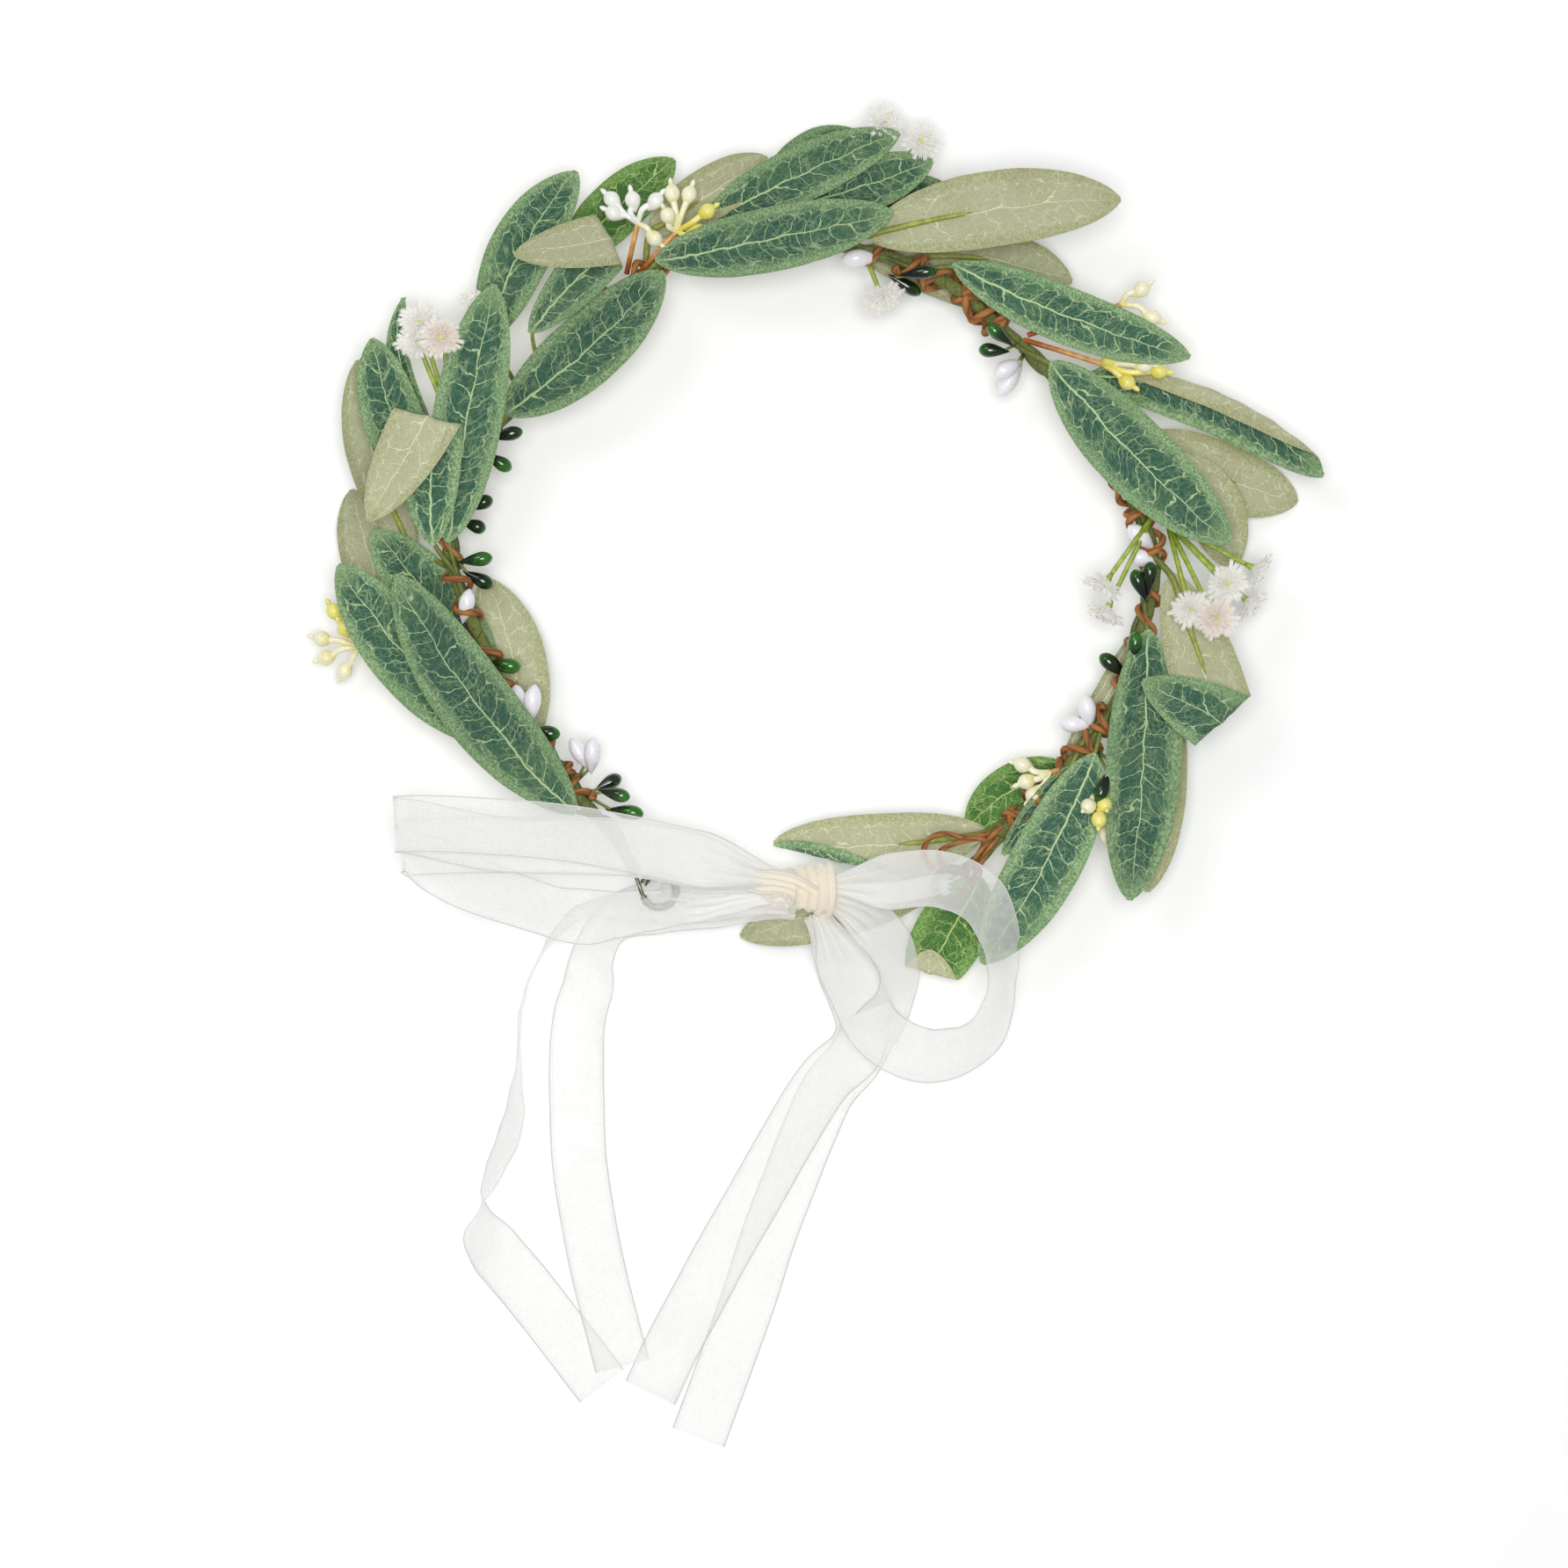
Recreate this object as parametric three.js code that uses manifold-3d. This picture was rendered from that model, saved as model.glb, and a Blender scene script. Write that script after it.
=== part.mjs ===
// A flower crown that lies flat: a taped wire ring, open at one side, that carries cloth leaves,
// berries, buds and small flowers, and a ribbon bow that ties its two end eyelets together.
// Millimetres. X and Y are measured from the middle of the ring, and Z from the table, until the
// last lines move the origin to the middle of the whole crown's underside.

import * as THREE from "three";
import { mergeVertices } from "three/addons/utils/BufferGeometryUtils.js";
import Module from "manifold-3d";

const wasm = await Module();
wasm.setup();

// ---------------------------------------------------------------- driving dimensions
const STEM_HEIGHT = 16; // middle of the ring's stem above the table
const CORE_WIRE_RADIUS = 0.55;
const TAPE_BORE_RADIUS = 1.25;
const TAPE_RADIUS = 1.7;
const PAPER_CORD_RADIUS = 0.7;
const PAPER_CORD_PITCH = 9.5;
const PAPER_CORD_GAP = 0.55; // between the tape and the cord, which winds in straight steps
const EYELET_RADIUS = 4.5; // from an eyelet's centre to the middle of its wire
const LEAF_THICKNESS = 0.5;
const LEAF_STALK_HALF_WIDTH = 0.7;
const LEAF_CUP = 1.2; // how far a leaf's edges stand above its midrib
const LEAF_FOLD_RADIUS = 1.6;
const LEAF_ROWS = 9; // stretches along a leaf
const LEAF_FOLDED_ROWS = 22; // on a leaf that is folded over
const RIBBON_WIDTH = 15;
const RIBBON_THICKNESS = 0.5;
const RIBBON_GATHERED_SHARE = 0.35; // share of the width that is left where a ribbon is gathered
const RIBBON_GATHER_LENGTH = 14;
const STALK_RADIUS = 0.5; // of a berry's, bud's or flower's stalk
const BERRY_RADIUS = 2.1;
const BUD_RADIUS = 2.3;
const FLOWER_RADIUS = 4.6;
const FLOWER_DEPTH = 4;
const BALL_RADIUS = 2;
const KNOT_CENTRE = [1, -87, 20.5];
const KNOT_HALF_SIZES = [5.2, 6, 5.6];

const DEGREE = Math.PI / 180;
const UP = new THREE.Vector3(0, 0, 1);
const crown = new THREE.Group();

const point = ([x, y, z = STEM_HEIGHT]) => new THREE.Vector3(x, y, z);

// ---------------------------------------------------------------- materials and nodes
const paint = (color, roughness, metalness = 0) => ({ color, roughness, metalness });
const PAINTS = {
  wire: paint(0x6f7a5a, 0.45, 0.6),
  tape: paint(0x6b7a45, 0.8),
  cord: paint(0xa55f28, 0.85),
  leafTop: paint(0x4f7a68, 0.75),
  leafUnder: paint(0xc5cda0, 0.8),
  leafBright: paint(0x50823c, 0.75),
  berry: paint(0x1e3c18, 0.15),
  bud: paint(0xf4f2f6, 0.3),
  flower: paint(0xf6f1ee, 0.7),
  cream: paint(0xf0ebaa, 0.45),
  ribbon: paint(0xf3f1ec, 0.5),
};

function addNode(name, geometry, finish) {
  const mesh = new THREE.Mesh(geometry, new THREE.MeshStandardMaterial(finish));
  mesh.name = name;
  crown.add(mesh);
}

// ---------------------------------------------------------------- joining solids
function solidFrom(geometry) {
  const bare = geometry.clone();
  bare.deleteAttribute("normal");
  bare.deleteAttribute("uv");
  const merged = mergeVertices(bare, 1e-4);
  return new wasm.Manifold(
    new wasm.Mesh({
      numProp: 3,
      vertProperties: new Float32Array(merged.attributes.position.array),
      triVerts: new Uint32Array(merged.index.array),
    }),
  );
}

function joined(geometries) {
  const whole = geometries.map(solidFrom).reduce((sum, next) => sum.add(next));
  const mesh = whole.getMesh();
  const geometry = new THREE.BufferGeometry();
  geometry.setAttribute("position", new THREE.BufferAttribute(mesh.vertProperties, 3));
  geometry.setIndex(new THREE.BufferAttribute(mesh.triVerts, 1));
  geometry.computeVertexNormals();
  return geometry;
}

// ---------------------------------------------------------------- tubes
function roundShape(radius, sides) {
  const shape = new THREE.Shape();
  for (let i = 0; i < sides; i += 1) {
    const turn = (2 * Math.PI * i) / sides;
    const x = radius * Math.cos(turn);
    const y = radius * Math.sin(turn);
    if (i === 0) shape.moveTo(x, y);
    else shape.lineTo(x, y);
  }
  shape.closePath();
  return shape;
}

function tube(path, radius, sides, steps, bore = 0) {
  const shape = roundShape(radius, sides);
  if (bore) shape.holes.push(roundShape(bore, sides));
  return new THREE.ExtrudeGeometry(shape, { steps, bevelEnabled: false, extrudePath: path });
}

// ---------------------------------------------------------------- the ring: core wire and tape
const STEM_POINTS = [
  [-44, -83],
  [-50, -73],
  [-59, -63],
  [-76, -40],
  [-90, -10],
  [-94, 4],
  [-89, 22],
  [-76, 44],
  [-39, 79],
  [-10, 87],
  [17, 83],
  [38, 75],
  [56, 60],
  [66, 51],
  [89.5, 14],
  [94, 0],
  [91.5, -16],
  [83, -39],
  [65, -61],
  [50, -76],
  [45.5, -82],
].map(point);
const STEM_STEPS = 48;
const stemPath = new THREE.CatmullRomCurve3(STEM_POINTS);
const STEM_LENGTH = stemPath.getLength();

// An eyelet is the wire's end bent round into a ring that stops just short of closing.
const EYELETS = {
  left: { centre: [-38, -87.5], from: 200, sweep: 318 },
  right: { centre: [40, -86], from: -14.5, sweep: -318 },
};

function eyeletPoints({ centre, from, sweep }) {
  const count = 8;
  return Array.from({ length: count + 1 }, (_, i) => {
    const angle = (from + (sweep * i) / count) * DEGREE;
    return point([
      centre[0] + EYELET_RADIUS * Math.cos(angle),
      centre[1] + EYELET_RADIUS * Math.sin(angle),
    ]);
  });
}

const wirePath = new THREE.CatmullRomCurve3([
  ...eyeletPoints(EYELETS.left).reverse(),
  ...STEM_POINTS,
  ...eyeletPoints(EYELETS.right),
]);
addNode("core_wire", tube(wirePath, CORE_WIRE_RADIUS, 5, 92), PAINTS.wire);
addNode("stem_tape", tube(stemPath, TAPE_RADIUS, 6, STEM_STEPS, TAPE_BORE_RADIUS), PAINTS.tape);

// ---------------------------------------------------------------- paper cord wound on the stem
class CordWinding extends THREE.Curve {
  constructor(start, end) {
    super();
    this.start = start; // shares of the stem's length
    this.end = end;
    this.turns = ((end - start) * STEM_LENGTH) / PAPER_CORD_PITCH;
  }

  getPoint(share, target = new THREE.Vector3()) {
    const along = this.start + (this.end - this.start) * share;
    const heading = stemPath.getTangentAt(along);
    const outward = new THREE.Vector3().crossVectors(heading, UP).normalize();
    const reach = TAPE_RADIUS + PAPER_CORD_GAP + PAPER_CORD_RADIUS;
    const turn = 2 * Math.PI * this.turns * share;
    return target
      .copy(stemPath.getPointAt(along))
      .addScaledVector(outward, reach * Math.cos(turn))
      .addScaledVector(UP, reach * Math.sin(turn));
  }
}

const CORD_STEPS_PER_TURN = 7;
const CORD_WINDINGS = {
  paper_cord_left: [0.05, 0.25],
  paper_cord_top: [0.36, 0.63],
  paper_cord_right: [0.7, 0.97],
};
for (const [name, [start, end]] of Object.entries(CORD_WINDINGS)) {
  const winding = new CordWinding(start, end);
  const steps = Math.round(winding.turns * CORD_STEPS_PER_TURN);
  addNode(name, tube(winding, PAPER_CORD_RADIUS, 4, steps), PAINTS.cord);
}

// ---------------------------------------------------------------- leaves
// Each leaf runs from `from` to `to`, and `bow` is its sideways bulge to the right of that way. A
// leaf that is folded over has its crease at `to`, `past` millimetres of leaf beyond it, and `skew`,
// the crease's angle off square. `under` leaves show their pale side.
const LEAVES = [
  { from: [-60, -67, 21.5], to: [-107, -4, 30], width: 20, bow: -3.5 },
  { from: [-83, -48, 16], to: [-123, -1, 22], width: 19, bow: -2 },
  { from: [-82, -36, 9.5], to: [-115, 9, 10.2], width: 18, bow: 2 },
  { from: [-108, -20, 7], to: [-121.5, 20.5, 1], width: 15, bow: -1, under: true },
  { from: [-71, -53, 9], to: [-83.5, -4.5, 6], width: 18, bow: 4, under: true },
  { from: [-98, 4, 21.5], to: [-99, 38.2, 29], width: 18, past: 29, skew: -17 },
  { from: [-94, 5, 20.8], to: [-81, 72.5, 34], width: 19, bow: 3 },
  { from: [-98, 15, 15.5], to: [-114, 59, 23], width: 16, bow: -2 },
  { from: [-104, 3, 8], to: [-118.5, 54, 15], width: 14, bow: -3, under: true },
  { from: [-79, 39, 20.5], to: [-36.5, 76.5, 24], width: 19, bow: 2 },
  { from: [-84, 60, 12], to: [-60, 104, 18], width: 17, bow: -3 },
  { from: [-72, 63, 27], to: [-50.5, 85.2, 32], width: 17, past: 26, skew: -15.3 },
  { from: [-39, 80, 20.8], to: [24, 91.5, 30], width: 17, bow: 1 },
  { from: [-27, 90, 13], to: [26, 114, 19], width: 15, bow: -1 },
  { from: [-14, 91, 10], to: [43, 98.5, 10], width: 16, bow: -2 },
  { from: [-10, 95, 5], to: [18, 116, 1], width: 16, bow: -3 },
  { from: [17, 86, 24], to: [84, 95, 30], width: 20, bow: -2, under: true },
  { from: [40, 79, 20.5], to: [103, 54, 23], width: 17, bow: -2 },
  { from: [14, 83, 9], to: [58, 65, 8], width: 14, bow: 2, under: true },
  { from: [66, 53, 21.5], to: [113, 4.5, 28], width: 20, bow: 2 },
  { from: [76, 50, 15], to: [139, 23, 17], width: 17, bow: -4 },
  { from: [92, 34, 10], to: [134, 17, 1], width: 18, bow: 2, under: true },
  { from: [98, -3, 20], to: [111, -42.2, 27], width: 17, past: 22, skew: 21.9, under: true },
  { from: [92, -18, 20.8], to: [87, -90, 22], width: 20, bow: -1 },
  { from: [78, -51, 20.8], to: [48, -107, 19], width: 19, bow: -2 },
  { from: [41.5, -93, 12], to: [38, -114, 6], width: 16, bright: true },
  { from: [50, -72, 10], to: [-7.5, -75, 10], width: 14, bow: -2, under: true },
];

// A leaf's half width at a share of its length: a stalk, a full middle and a blunt point.
function leafHalfWidth(width, share) {
  const inside = Math.min(Math.max(share, 0), 1);
  return Math.max(LEAF_STALK_HALF_WIDTH, (width / 2) * Math.sin(Math.PI * inside) ** 0.75);
}

// How far a cross line of the leaf, turned by `skew`, reaches from the midrib to the edge.
function edgeDistance({ width, skew }, length, along, side) {
  let near = 0;
  let far = width;
  for (let i = 0; i < 24; i += 1) {
    const reach = (near + far) / 2;
    const share = (along + side * reach * Math.sin(skew)) / length;
    if (reach * Math.cos(skew) < leafHalfWidth(width, share)) near = reach;
    else far = reach;
  }
  return near;
}

// Rolls whatever lies past the crease up and back over the leaf.
function foldedOver(past, height) {
  const bend = LEAF_FOLD_RADIUS;
  if (past <= 0) return [past, height];
  if (past >= Math.PI * bend) return [Math.PI * bend - past, 2 * bend - height];
  const turn = past / bend;
  return [(bend - height) * Math.sin(turn), bend - (bend - height) * Math.cos(turn)];
}

function leafGeometry({ from, to, width, bow = 0, past = 0, skew = 0 }) {
  const start = point(from);
  const crease = point(to);
  const reach = crease.distanceTo(start);
  const length = reach + past;
  const forward = crease.clone().sub(start).normalize();
  const right = new THREE.Vector3().crossVectors(forward, UP).normalize();
  const above = new THREE.Vector3().crossVectors(right, forward);
  const turn = skew * DEGREE;
  const rows = past ? LEAF_FOLDED_ROWS : LEAF_ROWS;
  const slab = new THREE.BoxGeometry(2, 1, 1, 2, rows, 1);
  const places = slab.attributes.position;
  for (let i = 0; i < places.count; i += 1) {
    const side = Math.sign(places.getX(i));
    const along = (places.getY(i) + 0.5) * length;
    const height = places.getZ(i) * LEAF_THICKNESS;
    const edge = side * edgeDistance({ width, skew: turn }, length, along, side || 1);
    const [beyond, lifted] = past
      ? foldedOver((along - reach) * Math.cos(turn), height)
      : [along - reach, height + LEAF_CUP * (edge / (width / 2)) ** 2];
    // `line` runs along the crease and `beyond` square to it; an open leaf has no skew
    const line = edge + (along - reach) * Math.sin(turn);
    const across = line * Math.cos(turn) - beyond * Math.sin(turn);
    const ahead = reach + line * Math.sin(turn) + beyond * Math.cos(turn);
    const middle = past ? 0 : 4 * (along / length) * (1 - along / length);
    const place = start
      .clone()
      .addScaledVector(forward, ahead)
      .addScaledVector(right, across + bow * middle)
      .addScaledVector(above, lifted);
    places.setXYZ(i, place.x, place.y, place.z);
  }
  return slab;
}

LEAVES.forEach((leaf, index) => {
  const name = `leaf_${String(index + 1).padStart(2, "0")}`;
  const finish = leaf.under ? PAINTS.leafUnder : leaf.bright ? PAINTS.leafBright : PAINTS.leafTop;
  addNode(name, leafGeometry(leaf), finish);
});

// ---------------------------------------------------------------- sprigs of berries, buds and balls
// A sprig is a set of stalks that leave one foot, each with a fruit at its end.
function placedAlong(geometry, at, direction) {
  const turn = new THREE.Quaternion().setFromUnitVectors(new THREE.Vector3(0, 1, 0), direction);
  return geometry.applyQuaternion(turn).translate(at.x, at.y, at.z);
}

function teardrop(radius, length, sides) {
  const profile = [
    [0, 0],
    [0.35, 0.08],
    [0.8, 0.4],
    [1, 0.68],
    [0.72, 0.92],
    [0, 1],
  ].map(([across, along]) => new THREE.Vector2(across * radius, along * length));
  return new THREE.LatheGeometry(profile, sides);
}

function stalk(foot, end) {
  return tube(new THREE.LineCurve3(foot, end), STALK_RADIUS, 5, 1);
}

function fruitSprig(foot, fruits, radius) {
  const root = point(foot);
  const pieces = fruits.flatMap(([base, tip]) => {
    const start = point(base);
    const end = point(tip);
    const direction = end.clone().sub(start).normalize();
    const fruit = placedAlong(teardrop(radius, end.distanceTo(start), 6), start, direction);
    const sunk = start.clone().addScaledVector(direction, radius);
    return [stalk(root, sunk), fruit];
  });
  return joined([new THREE.IcosahedronGeometry(STALK_RADIUS * 1.6, 0).translate(...root), ...pieces]);
}

const BERRIES = {
  berries_left_upper: {
    foot: [-84.5, 30, 19.2],
    fruits: [[[-82, 33, 19.5], [-75, 34.5, 19.5]], [[-83, 28, 19.5], [-78, 25, 18]]],
  },
  berries_left_middle: {
    foot: [-91, 1, 19.5],
    fruits: [[[-90, 0, 20], [-83, 1, 20]], [[-89, -3, 17], [-83, -6, 16]]],
  },
  berries_left_end: {
    foot: [-56, -61, 17],
    fruits: [
      [[-53, -61, 18], [-46.5, -62.5, 19]],
      [[-54, -60, 15], [-49, -57.5, 13]],
      [[-51, -66, 16], [-43, -67, 17]],
    ],
  },
  berries_top: {
    foot: [30, 74.5, 20.5],
    fruits: [[[27, 76, 21], [35, 77, 22]], [[24, 76, 17], [31, 72, 15]]],
  },
  berries_right_upper: {
    foot: [57, 57.5, 19.5],
    fruits: [[[55, 58, 21.5], [50, 62, 23]], [[54, 56, 18.5], [48, 56.5, 17.5]]],
  },
  berries_right: {
    foot: [91, -10, 19.8],
    fruits: [[[91, -9.5, 20.5], [88.5, -3, 20.5]], [[92, -8, 20.5], [92.5, -1, 21.5]]],
  },
};
for (const [name, { foot, fruits }] of Object.entries(BERRIES)) {
  addNode(name, fruitSprig(foot, fruits, BERRY_RADIUS), PAINTS.berry);
}

const BUDS = {
  buds_left: {
    foot: [-57.5, -56.5, 17],
    fruits: [[[-57.5, -54, 16.5], [-61, -47.5, 16.5]], [[-56, -55, 18], [-55.5, -47.5, 19]]],
  },
  buds_upper_right: {
    foot: [58, 54, 16],
    fruits: [[[57.5, 53, 17], [52, 50, 19]], [[58, 52, 15], [53, 45, 14]]],
  },
  buds_right: {
    foot: [77, -44, 17.5],
    fruits: [[[75.5, -43.5, 17.5], [69.5, -43, 17]], [[76.5, -43, 18], [75.5, -36, 19]]],
  },
};
for (const [name, { foot, fruits }] of Object.entries(BUDS)) {
  addNode(name, fruitSprig(foot, fruits, BUD_RADIUS), PAINTS.bud);
}

// ---------------------------------------------------------------- gypsophila
function flowerHead() {
  const profile = [
    [0, -0.1],
    [0.4, 0],
    [1, 0.75],
    [0.75, 0.95],
    [0, 1],
  ].map(([across, along]) => new THREE.Vector2(across * FLOWER_RADIUS, along * FLOWER_DEPTH));
  return new THREE.LatheGeometry(profile, 7);
}

function flowerSprig(foot, heads) {
  const root = point(foot);
  const pieces = heads.flatMap((head) => {
    const end = point(head);
    const direction = end.clone().sub(root).normalize();
    const sunk = end.clone().addScaledVector(direction, FLOWER_DEPTH / 2);
    return [stalk(root, sunk), placedAlong(flowerHead(), end, direction)];
  });
  return joined([new THREE.IcosahedronGeometry(STALK_RADIUS * 1.6, 0).translate(...root), ...pieces]);
}

const FLOWERS = {
  gypsophila_left: { foot: [-91, 31, 16], heads: [[-101, 61, 12], [-94, 57, 19], [-89, 66, 21]] },
  gypsophila_top: { foot: [4, 91, 15.5], heads: [[20, 113, 12], [30, 108, 14]] },
  gypsophila_right_inner: { foot: [91.5, 9, 19.5], heads: [[81, -3.5, 23], [80, -10, 20]] },
  gypsophila_right_outer: {
    foot: [98.5, 6, 16],
    heads: [[111, -3, 20], [102, -10, 16], [109, -13, 15], [119, -1, 13], [118, -9, 11]],
  },
};
for (const [name, { foot, heads }] of Object.entries(FLOWERS)) {
  addNode(name, flowerSprig(foot, heads), PAINTS.flower);
}

// ---------------------------------------------------------------- cream sprigs with ball ends
function ballSprig(foot, fork, balls) {
  const root = point(foot);
  const middle = point(fork);
  const pieces = balls.flatMap((ball) => {
    const end = point(ball);
    const sphere = new THREE.SphereGeometry(BALL_RADIUS, 6, 4).translate(end.x, end.y, end.z);
    return [stalk(middle, end), sphere];
  });
  const joint = new THREE.IcosahedronGeometry(STALK_RADIUS * 1.6, 0).translate(...middle);
  return joined([stalk(root, middle), joint, ...pieces]);
}

const BALL_SPRIGS = {
  cream_sprig_left: {
    foot: [-104, -24, 13],
    fork: [-116, -23, 12],
    balls: [[-123.5, -13, 13], [-127, -20, 12], [-126, -26, 10], [-121.5, -29, 9]],
  },
  cream_sprig_top: {
    foot: [-48, 79, 17],
    fork: [-41, 87, 22],
    balls: [[-49, 95, 21], [-43, 97, 22], [-37.5, 95, 23], [-31, 94, 24], [-36, 88, 22]],
  },
  cream_sprig_right_upper: {
    foot: [60, 60.5, 17],
    fork: [80, 52.5, 19],
    balls: [[86.5, 49.5, 21], [91, 52, 21.5], [95, 50, 20.5]],
  },
  cream_sprig_right_lower: {
    foot: [78, -52, 16],
    fork: [78, -61, 15],
    balls: [[76, -66, 14], [79.5, -69, 16], [80, -74, 13]],
  },
};
for (const [name, { foot, fork, balls }] of Object.entries(BALL_SPRIGS)) {
  addNode(name, ballSprig(foot, fork, balls), PAINTS.cream);
}

// ---------------------------------------------------------------- the ribbon bow
// A ribbon follows its points. `across` is the way its width points at the start, which is carried
// along the path without twisting, or "level" where the width stays level all the way. `gathered`
// names the ends that are drawn together.
const RIBBONS = {
  ribbon_strand_left: {
    points: [
      [-4.5, -88, 18],
      [-20, -89, 17.3],
      [-34, -88, 17.5],
      [-38, -87.6, 16],
      [-34, -88, 14.5],
      [-20, -89, 14.5],
      [-4.5, -88, 16.2],
    ],
    across: [0, 1, 0],
    width: 5.5,
    gathered: "neither",
  },
  ribbon_strand_right: {
    points: [
      [6.8, -87, 18.2],
      [20, -86.5, 17.5],
      [36, -86, 17.5],
      [40, -86, 16],
      [36, -86, 14.5],
      [20, -86.5, 14.5],
      [6.8, -87, 16.4],
    ],
    across: [0, 1, 0],
    width: 5.5,
    gathered: "neither",
  },
  bow_loop_left_outer: {
    points: [
      [-5.2, -84.5, 24],
      [-22, -80, 29],
      [-60, -72.5, 31],
      [-100, -69.7, 30],
      [-108, -69.4, 28],
      [-100, -69.7, 26],
      [-60, -72.5, 26.5],
      [-22, -80, 26],
      [-6.6, -84.5, 22],
    ],
    across: [0.15, 1, 0],
    gathered: "both",
  },
  bow_loop_left_inner: {
    points: [
      [-6.6, -88.5, 20.6],
      [-24, -89.5, 23],
      [-45, -93, 23.5],
      [-75, -86.5, 23],
      [-100, -80, 22.6],
      [-107, -78, 21.4],
      [-100, -80, 20],
      [-75, -86.5, 20],
      [-45, -93, 20.2],
      [-24, -89.5, 20.2],
      [-6.6, -88.5, 19.4],
    ],
    across: [0, 1, 0],
    gathered: "both",
  },
  bow_loop_right_outer: {
    points: [
      [7, -86, 23.5],
      [20, -85.3, 25],
      [36, -84.5, 26],
      [47, -89, 26.5],
      [53, -100, 26],
      [53, -117, 20],
      [46, -129, 12],
      [34, -132, 8],
      [21, -126, 8],
      [14, -113, 11],
      [8, -100, 17],
      [5, -94, 20],
    ],
    across: "level",
    gathered: "both",
  },
  bow_loop_right_inner: {
    points: [
      [7.4, -90, 20.6],
      [16, -94, 20],
      [23, -101, 17],
      [25.5, -108, 12],
      [24, -114, 7],
    ],
    across: [-0.4, -0.3, 0.85],
    width: 8,
    gathered: "start",
  },
  ribbon_tail_a: {
    points: [
      [-3.5, -93, 13.4],
      [-22, -95.5, 11.5],
      [-50, -96, 9],
      [-66, -101, 7],
      [-74, -115, 4],
      [-77, -135, 1.3],
      [-80.5, -152, 0.35],
      [-79, -172, 0.25],
      [-70, -192, 0.25],
      [-54, -221, 0.25],
    ],
    across: "level",
    gathered: "start",
    width: 12,
  },
  ribbon_tail_b: {
    points: [
      [-1.5, -96, 11.5],
      [-20, -102, 8],
      [-42, -106, 5],
      [-55, -114, 3.2],
      [-60, -129, 1.5],
      [-60.5, -145, 1.25],
      [-56.5, -182, 1.25],
      [-49, -216, 1.25],
    ],
    across: "level",
    gathered: "start",
    width: 14,
  },
  ribbon_tail_c: {
    points: [
      [2, -94.4, 18],
      [5, -108, 8],
      [9, -122, 3.2],
      [8, -134, 1.8],
      [-1, -150, 1.5],
      [-12, -170, 1.5],
      [-23, -190, 2.25],
      [-40, -221, 2.25],
    ],
    across: "level",
    gathered: "start",
  },
  ribbon_tail_d: {
    points: [
      [1, -94, 14],
      [6, -108, 6],
      [12.5, -121, 1.2],
      [12, -133, 0.4],
      [3, -153, 0.25],
      [-5, -171, 0.25],
      [-13, -192, 0.25],
      [-20.5, -213.5, 0.25],
      [-28, -235, 0.25],
    ],
    across: "level",
    gathered: "start",
  },
};
const RIBBON_STEPS = 24;

function gatheredShare(distance) {
  const share = Math.min(Math.max(distance / RIBBON_GATHER_LENGTH, 0), 1);
  const eased = share * share * (3 - 2 * share);
  return RIBBON_GATHERED_SHARE + (1 - RIBBON_GATHERED_SHARE) * eased;
}

function ribbonFrames(path, across) {
  const frames = [];
  const side = across === "level" ? new THREE.Vector3() : point(across).normalize();
  for (let i = 0; i <= RIBBON_STEPS; i += 1) {
    const heading = path.getTangentAt(i / RIBBON_STEPS);
    if (across === "level") side.crossVectors(UP, heading).normalize();
    else side.addScaledVector(heading, -side.dot(heading)).normalize();
    const face = new THREE.Vector3().crossVectors(side, heading).normalize();
    frames.push({ at: path.getPointAt(i / RIBBON_STEPS), side: side.clone(), face });
  }
  return frames;
}

function ribbonGeometry({ points, across, gathered, width = RIBBON_WIDTH }) {
  const path = new THREE.CatmullRomCurve3(points.map(point));
  const length = path.getLength();
  const frames = ribbonFrames(path, across);
  const slab = new THREE.BoxGeometry(1, 1, 1, 1, RIBBON_STEPS, 1);
  const places = slab.attributes.position;
  for (let i = 0; i < places.count; i += 1) {
    const share = places.getY(i) + 0.5;
    const { at, side, face } = frames[Math.round(share * RIBBON_STEPS)];
    const atStart = gathered === "both" || gathered === "start";
    const fromStart = atStart ? share * length : Infinity;
    const fromEnd = gathered === "both" ? (1 - share) * length : Infinity;
    const spread = width * gatheredShare(Math.min(fromStart, fromEnd));
    const place = at
      .clone()
      .addScaledVector(side, -places.getX(i) * spread)
      .addScaledVector(face, -places.getZ(i) * RIBBON_THICKNESS);
    places.setXYZ(i, place.x, place.y, place.z);
  }
  return slab;
}

const knot = new THREE.SphereGeometry(1, 12, 8).scale(...KNOT_HALF_SIZES).translate(...KNOT_CENTRE);
addNode("bow_knot", knot, PAINTS.ribbon);
for (const [name, ribbon] of Object.entries(RIBBONS)) {
  addNode(name, ribbonGeometry(ribbon), PAINTS.ribbon);
}

// ---------------------------------------------------------------- the origin
// The crown stands on z = 0 with its bounding box centred on the Z axis.
const bounds = new THREE.Box3().setFromObject(crown, true);
const middle = bounds.getCenter(new THREE.Vector3());
crown.position.set(-middle.x, -middle.y, -bounds.min.z);

export default crown;
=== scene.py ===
"""A flower crown that lies flat on a pale table, seen from straight above.

Lengths are in millimetres from the middle of the crown's ring, as in the part's own drawing, until
make_piece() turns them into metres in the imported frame.
"""

import math
import random

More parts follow.
